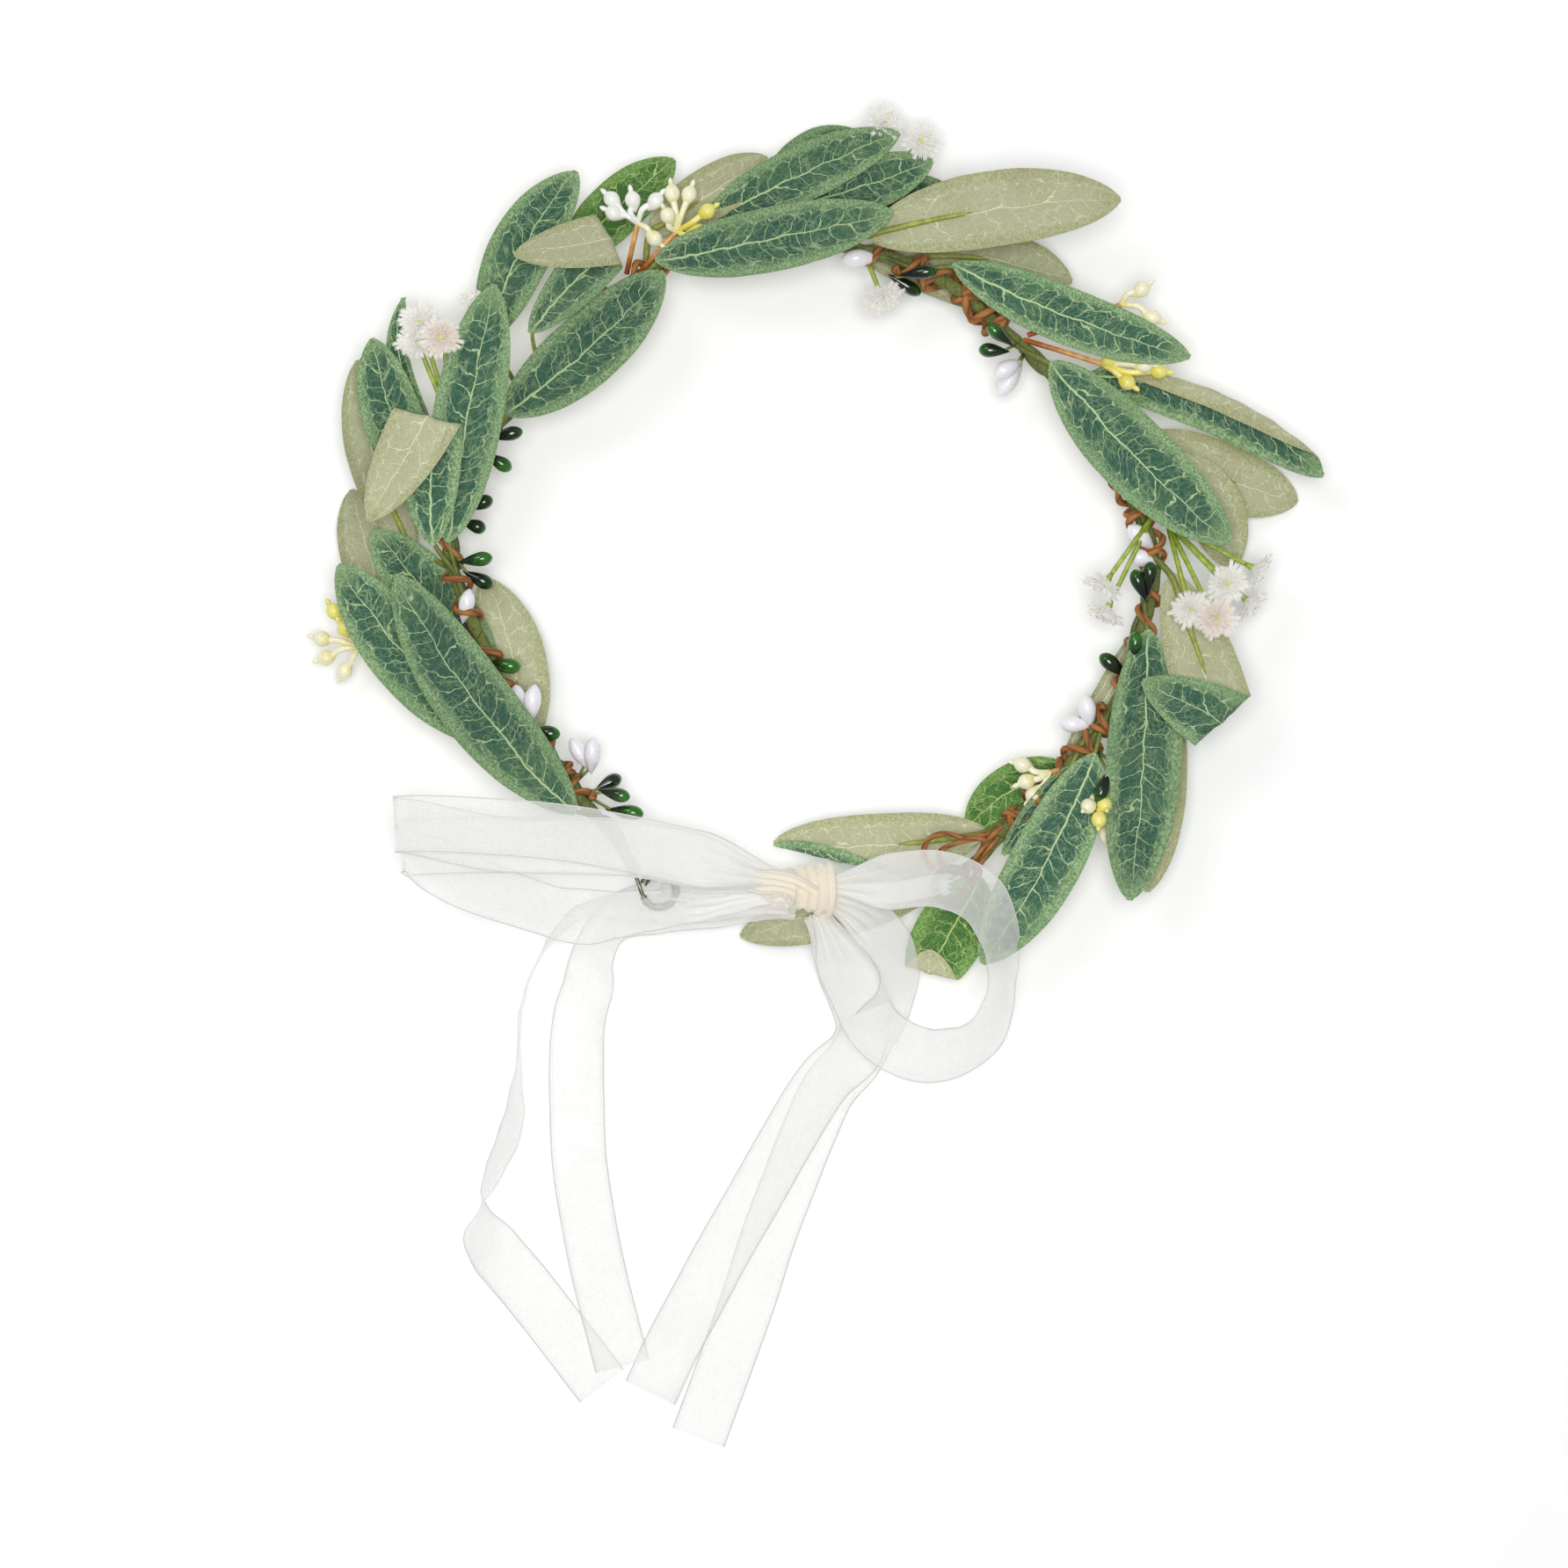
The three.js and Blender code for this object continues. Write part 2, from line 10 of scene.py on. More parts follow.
import bpy
import numpy as np
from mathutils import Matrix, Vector


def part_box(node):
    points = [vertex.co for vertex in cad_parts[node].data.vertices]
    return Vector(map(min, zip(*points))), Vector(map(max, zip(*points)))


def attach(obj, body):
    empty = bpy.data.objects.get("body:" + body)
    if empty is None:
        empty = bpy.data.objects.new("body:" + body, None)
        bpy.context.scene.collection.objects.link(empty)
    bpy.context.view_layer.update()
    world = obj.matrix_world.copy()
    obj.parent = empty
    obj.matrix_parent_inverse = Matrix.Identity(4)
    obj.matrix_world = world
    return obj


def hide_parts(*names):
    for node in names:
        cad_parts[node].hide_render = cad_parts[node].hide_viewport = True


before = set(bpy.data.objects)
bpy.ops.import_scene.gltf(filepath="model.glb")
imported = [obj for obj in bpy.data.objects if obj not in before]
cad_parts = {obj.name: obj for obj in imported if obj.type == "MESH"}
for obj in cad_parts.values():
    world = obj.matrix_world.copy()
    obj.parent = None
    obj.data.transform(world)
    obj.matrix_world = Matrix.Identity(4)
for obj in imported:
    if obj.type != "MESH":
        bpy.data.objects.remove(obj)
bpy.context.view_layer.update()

MM = 0.001
UP = np.array([0.0, 0.0, 1.0])
KNOT_CENTRE = np.array([1.0, -87.0, 20.5])
KNOT_BOX = [np.array(corner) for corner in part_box("bow_knot")]
ORIGIN = (KNOT_BOX[0] + KNOT_BOX[1]) / 2 - KNOT_CENTRE * MM
dice = random.Random(11)


# ---------------------------------------------------------------- small vector helpers
def unit(vector):
    return vector / max(np.linalg.norm(vector), 1e-9)


def eased(value):
    value = np.clip(value, 0, 1)
    return value * value * (3 - 2 * value)


def smooth_path(points, spacing):
    """Evenly spaced points on the smooth curve through these. Only the first three numbers of each
    point are its place; any others are carried along."""
    known = np.array(points, float)
    known = np.vstack([2 * known[0] - known[1], known, 2 * known[-1] - known[-2]])
    dense = []
    for p0, p1, p2, p3 in zip(known, known[1:], known[2:], known[3:]):
        d0, d1, d2 = (
            max(np.linalg.norm((b - a)[:3]), 1e-6) ** 0.5
            for a, b in ((p0, p1), (p1, p2), (p2, p3))
        )
        leave = ((p1 - p0) / d0 - (p2 - p0) / (d0 + d1) + (p2 - p1) / d1) * d1
        arrive = ((p2 - p1) / d1 - (p3 - p1) / (d1 + d2) + (p3 - p2) / d2) * d1
        t = np.linspace(0, 1, 40, endpoint=False)[:, None]
        dense.append(
            p1
            + leave * t
            + (3 * (p2 - p1) - 2 * leave - arrive) * t**2
            + (2 * (p1 - p2) + leave + arrive) * t**3
        )
    dense = np.vstack([*dense, known[-2:-1]])
    steps = np.linalg.norm(np.diff(dense[:, :3], axis=0), axis=1)
    travelled = np.concatenate([[0], np.cumsum(steps)])
    count = max(2, round(travelled[-1] / spacing))
    even = np.linspace(0, travelled[-1], count + 1)
    return np.column_stack([np.interp(even, travelled, column) for column in dense.T])


def headings(path):
    ahead = np.gradient(path[:, :3], axis=0)
    return ahead / np.maximum(np.linalg.norm(ahead, axis=1), 1e-9)[:, None]


def length_of(path):
    return float(np.linalg.norm(np.diff(path[:, :3], axis=0), axis=1).sum())


# ---------------------------------------------------------------- shapes
class Shape:
    """Points and faces that become one piece. Every point carries two triples for the materials:
    `place`, in millimetres, and `share`, as shares from 0 to 1."""

    def __init__(self):
        self.points = []
        self.place = []
        self.share = []
        self.faces = []
        self.paints = []
        self.count = 0

    def add(self, points, faces, paints, place, share):
        points = np.asarray(points, float).reshape(-1, 3)
        self.points.append(points)
        self.place.append(np.asarray(place, float).reshape(-1, 3))
        self.share.append(np.asarray(share, float).reshape(-1, 3))
        self.faces += [[self.count + corner for corner in face] for face in faces]
        self.paints += [paints] * len(faces) if isinstance(paints, int) else paints
        self.count += len(points)


def net(rows, columns, closed=False):
    """The four-sided faces between rows of points, with the last column joined to the first if closed."""
    faces = []
    for row in range(rows - 1):
        this, other = row * columns, (row + 1) * columns
        for column in range(columns if closed else columns - 1):
            following = (column + 1) % columns
            faces.append((this + column, this + following, other + following, other + column))
    return faces


def add_slab(shape, upper, lower, place, share, paints=(0, 0, 0)):
    """A thin closed sheet between two nets of points. paints are those of its upper side, its lower
    side and its rim."""
    rows, columns = upper.shape[:2]
    count = rows * columns
    above = net(rows, columns)
    below = [tuple(count + corner for corner in reversed(face)) for face in above]
    rim = list(range(columns))
    rim += [r * columns + columns - 1 for r in range(1, rows)]
    rim += [(rows - 1) * columns + c for c in range(columns - 2, -1, -1)]
    rim += [r * columns for r in range(rows - 2, 0, -1)]
    edge = [(a, count + a, count + b, b) for a, b in zip(rim, rim[1:] + rim[:1])]
    shape.add(
        np.concatenate([upper.reshape(-1, 3), lower.reshape(-1, 3)]),
        above + below + edge,
        [paints[0]] * len(above) + [paints[1]] * len(below) + [paints[2]] * len(edge),
        np.concatenate([place.reshape(-1, 3)] * 2),
        np.concatenate([share.reshape(-1, 3)] * 2),
    )


def add_tube(shape, path, radii, sides=8, paint=0, seed=0.0, ridges=0, twist=0.0, depth=0.0):
    """A round bar along a path. ridges, twist and depth give it the strands of a twisted cord."""
    ahead = headings(path)
    side = unit(np.cross(ahead[0], UP if abs(ahead[0][2]) < 0.9 else np.array([1.0, 0, 0])))
    radii = np.broadcast_to(np.asarray(radii, float), (len(path),))
    steps = np.linalg.norm(np.diff(path[:, :3], axis=0), axis=1)
    travelled = np.concatenate([[0], np.cumsum(steps)])
    angles = np.linspace(0, 2 * math.pi, sides, endpoint=False)
    length = max(travelled[-1], 1e-6)
    rings, place, share = [], [], []
    for here, forward, radius, along in zip(path[:, :3], ahead, radii, travelled):
        side = unit(side - forward * (side @ forward))
        face = np.cross(forward, side)
        swell = 1 + depth * np.cos(ridges * (angles - twist * along))
        circle = np.cos(angles)[:, None] * side + np.sin(angles)[:, None] * face
        out = radius * swell[:, None] * circle
        rings.append(here + out)
        place.append(np.column_stack([angles * radius, np.full(sides, along), np.full(sides, radius)]))
        share.append(
            np.column_stack([angles / (2 * math.pi), np.full(sides, along / length), np.full(sides, seed)])
        )
    caps = [list(range(sides))[::-1], [(len(path) - 1) * sides + i for i in range(sides)]]
    faces = net(len(path), sides, closed=True) + caps
    shape.add(np.vstack(rings), faces, paint, np.vstack(place), np.vstack(share))


def add_bulb(shape, start, end, radius, sharpness=1.5, fullness=0.62, paint=0, seed=0.0, sides=16, rows=14):
    """A drop that is narrow at its start and full towards its end."""
    start, end = np.array(start, float), np.array(end, float)
    along = (1 - np.cos(np.linspace(0, math.pi, rows + 1))) / 2
    path = start + (end - start) * along[:, None]
    radii = np.maximum(radius * np.sin(math.pi * along**sharpness) ** fullness, 0.04)
    add_tube(shape, path, radii, sides, paint, seed)


def add_stalk(shape, start, end, thick, thin, paint=0, seed=0.0, rise=1.0):
    """A stalk with a slight bend from start to end."""
    start, end = np.array(start, float), np.array(end, float)
    middle = (start + end) / 2 + UP * rise
    path = smooth_path([start, middle, end], 1.2)
    add_tube(shape, path, np.linspace(thick, thin, len(path)), 7, paint, seed)


def make_piece(name, shape, materials, replaces=(), crease=55):
    mesh = bpy.data.meshes.new(name)
    points = ORIGIN + np.vstack(shape.points) * MM
    mesh.from_pydata(points.tolist(), [], shape.faces)
    for key, rows in (("place", shape.place), ("share", shape.share)):
        layer = mesh.attributes.new(key, "FLOAT_VECTOR", "POINT")
        layer.data.foreach_set("vector", np.vstack(rows).astype(np.float32).ravel())
    for material in materials:
        mesh.materials.append(material)
    mesh.polygons.foreach_set("material_index", shape.paints)
    mesh.polygons.foreach_set("use_smooth", [True] * len(shape.faces))
    mesh.update()
    mesh.set_sharp_from_angle(angle=math.radians(crease))
    piece = bpy.data.objects.new(name, mesh)
    bpy.context.scene.collection.objects.link(piece)
    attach(piece, "root")
    if replaces:
        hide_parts(*replaces)
    return piece


# ---------------------------------------------------------------- materials
def tone(red, green, blue):
    """A colour as light, from its three 0 to 255 display values."""
    shares = [value / 255 for value in (red, green, blue)]
    return (*(s / 12.92 if s < 0.04045 else ((s + 0.055) / 1.055) ** 2.4 for s in shares), 1.0)


class Paint:
    """A material whose nodes are added one by one."""

    def __init__(self, name, roughness=0.6, **settings):
        self.material = bpy.data.materials.new(name)
        self.material.use_nodes = True
        self.tree = self.material.node_tree
        self.shader = self.tree.nodes["Principled BSDF"]
        self.shader.inputs["Roughness"].default_value = roughness
        for key, value in settings.items():
            self.shader.inputs[key.replace("_", " ")].default_value = value

    def put(self, socket, value):
        if isinstance(value, bpy.types.NodeSocket):
            self.tree.links.new(value, socket)
        else:
            socket.default_value = value

    def node(self, kind, inputs, **settings):
        made = self.tree.nodes.new(kind)
        for key, value in settings.items():
            setattr(made, key, value)
        for key, value in inputs.items():
            self.put(made.inputs[key], value)
        return made

    def math(self, operation, *values):
        return self.node("ShaderNodeMath", dict(enumerate(values)), operation=operation).outputs[0]

    def sum(self, *values):
        total = values[0]
        for value in values[1:]:
            total = self.math("ADD", total, value)
        return total

    def times(self, *values):
        total = values[0]
        for value in values[1:]:
            total = self.math("MULTIPLY", total, value)
        return total

    def most(self, *values):
        total = values[0]
        for value in values[1:]:
            total = self.math("MAXIMUM", total, value)
        return total

    def ramp(self, value, low, high, start=0.0, end=1.0):
        """A smooth change from start to end as value goes from low to high."""
        inputs = {"Value": value, "From Min": low, "From Max": high, "To Min": start, "To Max": end}
        return self.node("ShaderNodeMapRange", inputs, interpolation_type="SMOOTHSTEP").outputs[0]

    def mix(self, share, first, second):
        return self.node("ShaderNodeMix", {0: share, 6: first, 7: second}, data_type="RGBA").outputs[2]

    def shaded(self, colour, amount):
        """The colour times a number."""
        return self.node("ShaderNodeVectorMath", {0: colour, "Scale": amount}, operation="SCALE").outputs[0]

    def parts(self, name):
        vector = self.node("ShaderNodeAttribute", {}, attribute_name=name).outputs["Vector"]
        return self.node("ShaderNodeSeparateXYZ", {0: vector}).outputs

    def join(self, x, y, z):
        return self.node("ShaderNodeCombineXYZ", {0: x, 1: y, 2: z}).outputs[0]

    def noise(self, vector, scale, detail=2.0, roughness=0.5):
        inputs = {"Vector": vector, "Scale": scale, "Detail": detail, "Roughness": roughness}
        return self.node("ShaderNodeTexNoise", inputs).outputs[0]

    def wave(self, value, pitch):
        """A wave from 0 to 1 with this pitch."""
        swing = self.math("SINE", self.math("MULTIPLY", value, 2 * math.pi / pitch))
        return self.math("MULTIPLY_ADD", swing, 0.5, 0.5)

    def relief(self, height, depth):
        """Bumps of this depth in metres, where height goes from 0 to 1."""
        bump = self.node("ShaderNodeBump", {"Strength": 1.0, "Distance": depth, "Height": height})
        self.put(self.shader.inputs["Normal"], bump.outputs[0])

    def colour(self, value):
        self.put(self.shader.inputs["Base Color"], value)


LEAF_WEAVE_PITCH = 0.44
VEIN_PITCH = 4.7  # between side veins on one side of a leaf


def leaf_paint(name, centre, margin, vein, dusk, net_strength=0.8, vein_strength=0.88, roughness=0.68):
    """Printed cloth: a midrib, side veins that arch together near the edge, a fine net and a weave."""
    p = Paint(name, roughness, Sheen_Weight=0.06, Sheen_Roughness=0.5)
    p.shader.inputs["Specular IOR Level"].default_value = 0.25
    across, along, half = p.parts("place")
    side, share, seed = p.parts("share")
    apart = p.math("MULTIPLY", seed, 90.0)
    here = p.join(across, along, apart)
    out = p.math("ABSOLUTE", across)
    outer = p.math("ABSOLUTE", side)
    loose = p.math("SUBTRACT", p.noise(here, 0.10, 1.0), 0.5)
    fine = p.math("SUBTRACT", p.noise(here, 0.55, 2.0), 0.5)

    rib_sway = p.times(p.math("SUBTRACT", p.noise(p.join(0.0, along, apart), 0.09, 2.0), 0.5), 2.4)
    rib_off = p.math("ABSOLUTE", p.sum(across, rib_sway, p.times(fine, 0.7)))
    rib_width = p.ramp(share, 0.0, 1.0, 0.22, 0.03)
    rib = p.ramp(p.math("SUBTRACT", rib_off, rib_width), 0.0, 0.18, 1.0, 0.0)

    right = p.math("GREATER_THAN", across, 0.0)
    climb = p.math("SUBTRACT", along, p.sum(p.times(out, 0.50), p.times(outer, outer, 2.2)))
    phase = p.sum(
        p.times(climb, 1 / VEIN_PITCH), p.times(right, 0.46), p.times(loose, 2.3), p.times(fine, 0.34),
    )
    off = p.times(p.math("ABSOLUTE", p.math("SUBTRACT", p.math("FRACT", phase), 0.5)), VEIN_PITCH)
    side_width = p.ramp(outer, 0.0, 0.75, 0.07, 0.0)
    lateral = p.ramp(p.math("SUBTRACT", off, side_width), 0.0, 0.19, 0.95, 0.0)
    lateral = p.times(lateral, p.ramp(outer, 0.60, 0.80, 1.0, 0.0))

    bend = p.math("COSINE", p.times(phase, 2 * math.pi))
    arch_at = p.sum(0.64, p.times(bend, 0.06), p.times(fine, 0.22))
    arch_off = p.times(p.math("ABSOLUTE", p.math("SUBTRACT", outer, arch_at)), half)
    dots = p.ramp(p.noise(here, 1.1, 1.0), 0.38, 0.56, 0.25, 0.85)
    arch = p.times(p.ramp(arch_off, 0.06, 0.34, 1.0, 0.0), dots)

    cell_at = p.join(p.sum(across, p.times(fine, 1.3)), p.sum(climb, p.times(fine, 2.2)), apart)
    cells = p.node(
        "ShaderNodeTexVoronoi", {"Vector": cell_at, "Scale": 0.34}, feature="DISTANCE_TO_EDGE",
    ).outputs[0]
    small = p.node(
        "ShaderNodeTexVoronoi", {"Vector": cell_at, "Scale": 0.80}, feature="DISTANCE_TO_EDGE",
    ).outputs[0]
    webs = p.most(p.ramp(cells, 0.0, 0.055, 0.80, 0.0), p.ramp(small, 0.0, 0.12, 0.42, 0.0))
    webs = p.times(webs, net_strength, p.ramp(p.noise(here, 0.3, 1.0), 0.35, 0.65, 0.25, 1.0))

    zone = p.ramp(p.sum(outer, p.times(fine, 0.30), p.times(loose, 0.25)), 0.55, 0.86)
    zone = p.most(zone, p.ramp(share, 0.86, 0.99), p.ramp(share, 0.08, 0.0))
    veins = p.most(rib, lateral, arch, webs)
    strength = p.times(veins, p.ramp(zone, 0.0, 1.0, vein_strength, vein_strength * 0.30))

    thread = p.times(
        p.sum(
            p.wave(p.sum(across, along), LEAF_WEAVE_PITCH),
            p.wave(p.math("SUBTRACT", across, along), LEAF_WEAVE_PITCH),
        ),
        0.5,
    )
    speck = p.noise(here, 1.7, 3.0, 0.7)
    rim = p.mix(p.ramp(speck, 0.40, 0.60), dusk, margin)
    rim = p.mix(p.ramp(outer, 0.84, 1.0, 0.0, 0.30), rim, dusk)
    ground = p.mix(zone, centre, rim)
    ground = p.mix(p.ramp(p.noise(here, 0.07, 3.0), 0.45, 0.75, 0.0, 0.4), ground, dusk)
    colour = p.mix(strength, ground, vein)
    colour = p.shaded(
        colour,
        p.sum(p.times(thread, 0.20), p.times(seed, 0.22), p.times(p.noise(here, 2.4, 2.0), 0.26), 0.68),
    )
    p.colour(colour)
    p.relief(p.math("SUBTRACT", p.times(thread, 0.35), p.times(veins, 0.65)), 0.00022)
    return p.material


def stalk_paint(name, foot, tip, roughness=0.5):
    """A plastic-covered stalk that changes colour along its length."""
    p = Paint(name, roughness)
    around, along, radius = p.parts("place")
    turn, share, seed = p.parts("share")
    blotch = p.noise(p.join(around, along, p.times(seed, 70.0)), 0.6, 3.0)
    colour = p.mix(p.ramp(share, 0.1, 0.7), foot, tip)
    p.colour(p.shaded(colour, p.ramp(blotch, 0.3, 0.7, 0.72, 1.12)))
    p.relief(p.noise(p.join(around, p.times(along, 0.25), seed), 3.0, 2.0), 0.00015)
    return p.material


def fruit_paint(name, foot, middle, tip, low, high, roughness, coat, grain=0.05):
    """Glossy moulded plastic that changes colour from its stalk to its tip."""
    p = Paint(name, roughness, Coat_Weight=coat, Coat_Roughness=0.05)
    around, along, radius = p.parts("place")
    turn, share, seed = p.parts("share")
    cloud = p.math("SUBTRACT", p.noise(p.join(around, along, p.times(seed, 60.0)), 0.5, 2.0), 0.5)
    at = p.sum(share, p.times(cloud, 0.5), p.times(p.math("SUBTRACT", seed, 0.5), 0.4))
    colour = p.mix(p.ramp(at, low, (low + high) / 2), foot, middle)
    colour = p.mix(p.ramp(at, (low + high) / 2, high), colour, tip)
    p.colour(
        p.shaded(
            colour, p.ramp(p.noise(p.join(around, along, seed), 1.6, 2.0), 0.2, 0.8, 1 - grain, 1 + grain),
        )
    )
    p.relief(p.noise(p.join(around, along, seed), 0.9, 2.0), 0.00006)
    return p.material


def cord_paint():
    """Twisted kraft paper, with painted shade in the creases between its strands and lighter streaks along
    them that are partly fibre and partly painted highlight.
    """
    p = Paint("paper_cord", 0.82)
    around, along, radius = p.parts("place")
    turn, share, seed = p.parts("share")
    swirl = p.math("SUBTRACT", p.times(turn, 2.0), p.times(along, 0.16))
    crease = p.math("ABSOLUTE", p.math("SUBTRACT", p.math("FRACT", swirl), 0.5))
    fibre_and_highlight = p.noise(p.join(p.times(swirl, 5.0), p.times(along, 0.5), p.times(seed, 50.0)), 2.6, 4.0, 0.65)
    # Painted shade: the creases between the strands are coloured darker brown.
    colour = p.mix(p.ramp(crease, 0.06, 0.24, 1.0, 0.0), tone(176, 116, 60), tone(132, 82, 38))
    # Partly real fibre and partly painted highlight: lighter streaks along the strands, where the relief
    # rises.
    colour = p.mix(p.ramp(fibre_and_highlight, 0.52, 0.72, 0.0, 0.6), colour, tone(208, 154, 102))
    p.colour(p.shaded(colour, p.ramp(p.noise(p.join(around, along, seed), 0.25, 2.0), 0.3, 0.7, 0.72, 1.08)))
    p.relief(p.sum(p.times(p.ramp(crease, 0.0, 0.3), 0.7), p.times(fibre_and_highlight, 0.3)), 0.0003)
    return p.material


TAPE_LAP_PITCH = 6.5


def tape_paint():
    """Crepe paper tape wound in a spiral: cross wrinkles with painted light and shade on them, and painted
    shade at the step of each overlap.
    """
    p = Paint("stem_tape", 0.85)
    around, along, radius = p.parts("place")
    turn, share, seed = p.parts("share")
    lap = p.math("FRACT", p.math("SUBTRACT", p.times(along, 1 / TAPE_LAP_PITCH), turn))
    wrinkle = p.noise(p.join(p.times(around, 0.8), p.times(along, 5.0), 0.0), 1.1, 4.0, 0.6)
    # Painted light and shade: the tape is lighter where the wrinkles rise and darker where they sink.
    colour = p.mix(p.ramp(wrinkle, 0.35, 0.68), tone(74, 84, 36), tone(140, 150, 78))
    # Painted shade: darker brown at the step of each overlap.
    p.colour(p.mix(p.ramp(lap, 0.9, 1.0, 0.0, 0.7), colour, tone(60, 52, 26)))
    p.relief(p.sum(p.times(lap, 0.5), p.times(wrinkle, 0.5)), 0.0003)
    return p.material


def petal_paint():
    """Soft white petals with fine ribs and a faint painted glow; `seed` near 1 gives a pink-cream flower."""
    p = Paint(
        "gypsophila_petal", 0.55, Subsurface_Weight=0.4, Subsurface_Scale=0.002, Sheen_Weight=0.6,
        Sheen_Roughness=0.5,
    )
    p.shader.inputs["Subsurface Radius"].default_value = (1.0, 0.95, 0.9)
    across, along, half = p.parts("place")
    side, share, seed = p.parts("share")
    blush = p.times(p.ramp(seed, 0.8, 0.9), p.ramp(share, 1.3, 0.2))
    colour = p.mix(p.ramp(share, 0.0, 0.3), tone(226, 228, 196), tone(246, 244, 236))
    colour = p.mix(p.times(blush, 0.75), colour, tone(238, 192, 156))
    p.colour(
        p.shaded(
            colour,
            p.ramp(p.noise(p.join(across, along, p.times(seed, 40.0)), 1.4, 2.0), 0.3, 0.7, 0.93, 1.03),
        )
    )
    p.relief(p.wave(across, 0.36), 0.00008)
    # Painted glow: a faint emission brightens the petals, though they are no lamp.
    p.shader.inputs["Emission Color"].default_value = (1.0, 0.99, 0.96, 1.0)
    p.shader.inputs["Emission Strength"].default_value = 0.09
    return p.material


ORGANZA_THREAD_PITCH = 0.32
KNOT_COVER = 0.42  # how much the crowded layers by the knot add to the cover
SELVEDGE_SHARE = 0.93


def organza_paint(name, body, tint, veil, selvedge, painted_glow):
    """Sheer ribbon: crossed threads, crumpled folds, painted glints, a closer woven edge, a cream cast near
    the knot and a painted glow.
    """
    p = Paint(name, 0.42, Sheen_Weight=0.35, Sheen_Roughness=0.35)
    across, along, half = p.parts("place")
    side, share, near = p.parts("share")
    out = p.math("ABSOLUTE", side)
    weft = p.wave(along, ORGANZA_THREAD_PITCH)
    warp = p.wave(across, ORGANZA_THREAD_PITCH)
    thread = p.math("MAXIMUM", weft, warp)
    crumple = p.noise(p.join(p.times(across, 1.0), p.times(along, 0.7), half), 0.35, 3.0, 0.6)
    # Painted glints: random spots of extra cover stand in for light catching the threads.
    spark = p.noise(p.join(across, along, half), 2.6, 2.0, 0.7)
    selvage_line = p.ramp(p.math("ABSOLUTE", p.math("SUBTRACT", out, 0.87)), 0.0, 0.014, 0.6, 0.0)
    edge = p.most(p.ramp(out, SELVEDGE_SHARE, SELVEDGE_SHARE + 0.03), selvage_line)
    fold = p.ramp(crumple, 0.35, 0.7, 0.0, 0.02)
    glint = p.ramp(spark, 0.52, 0.8, 0.0, 0.05)
    layers = p.times(near, near, KNOT_COVER)
    cover = p.sum(veil, p.times(thread, 0.05), fold, glint, p.times(edge, selvedge), layers)
    colour = p.mix(p.ramp(near, 0.74, 1.0), body, tint)
    colour = p.mix(p.times(edge, 0.75), colour, tone(198, 197, 194))
    p.colour(colour)
    # Painted glow: emission stands in for light shining through the sheer cloth.
    p.shader.inputs["Emission Color"].default_value = (1.0, 0.99, 0.97, 1.0)
    p.shader.inputs["Emission Strength"].default_value = painted_glow
    p.put(p.shader.inputs["Alpha"], cover)
    p.relief(p.sum(p.times(thread, 0.5), p.times(crumple, 0.5)), 0.00016)
    return p.material


def wire_paint():
    p = Paint("core_wire", 0.4, Metallic=0.7)
    around, along, radius = p.parts("place")
    scuff = p.noise(p.join(around, p.times(along, 0.3), 0.0), 1.5, 4.0)
    p.colour(p.mix(p.ramp(scuff, 0.4, 0.7), tone(98, 106, 86), tone(162, 168, 150)))
    p.relief(scuff, 0.00005)
    return p.material


def floor_paint():
    p = Paint("table_paper", 0.95)
    place = p.node("ShaderNodeTexCoord", {}).outputs["Object"]
    p.colour(p.mix(p.ramp(p.noise(place, 30.0, 2.0), 0.3, 0.7), tone(249, 249, 249), tone(251, 251, 251)))
    p.shader.inputs["Specular IOR Level"].default_value = 0.0
    p.shader.inputs["Emission Color"].default_value = (1.0, 1.0, 1.0, 1.0)
    p.shader.inputs["Emission Strength"].default_value = 0.125
    return p.material


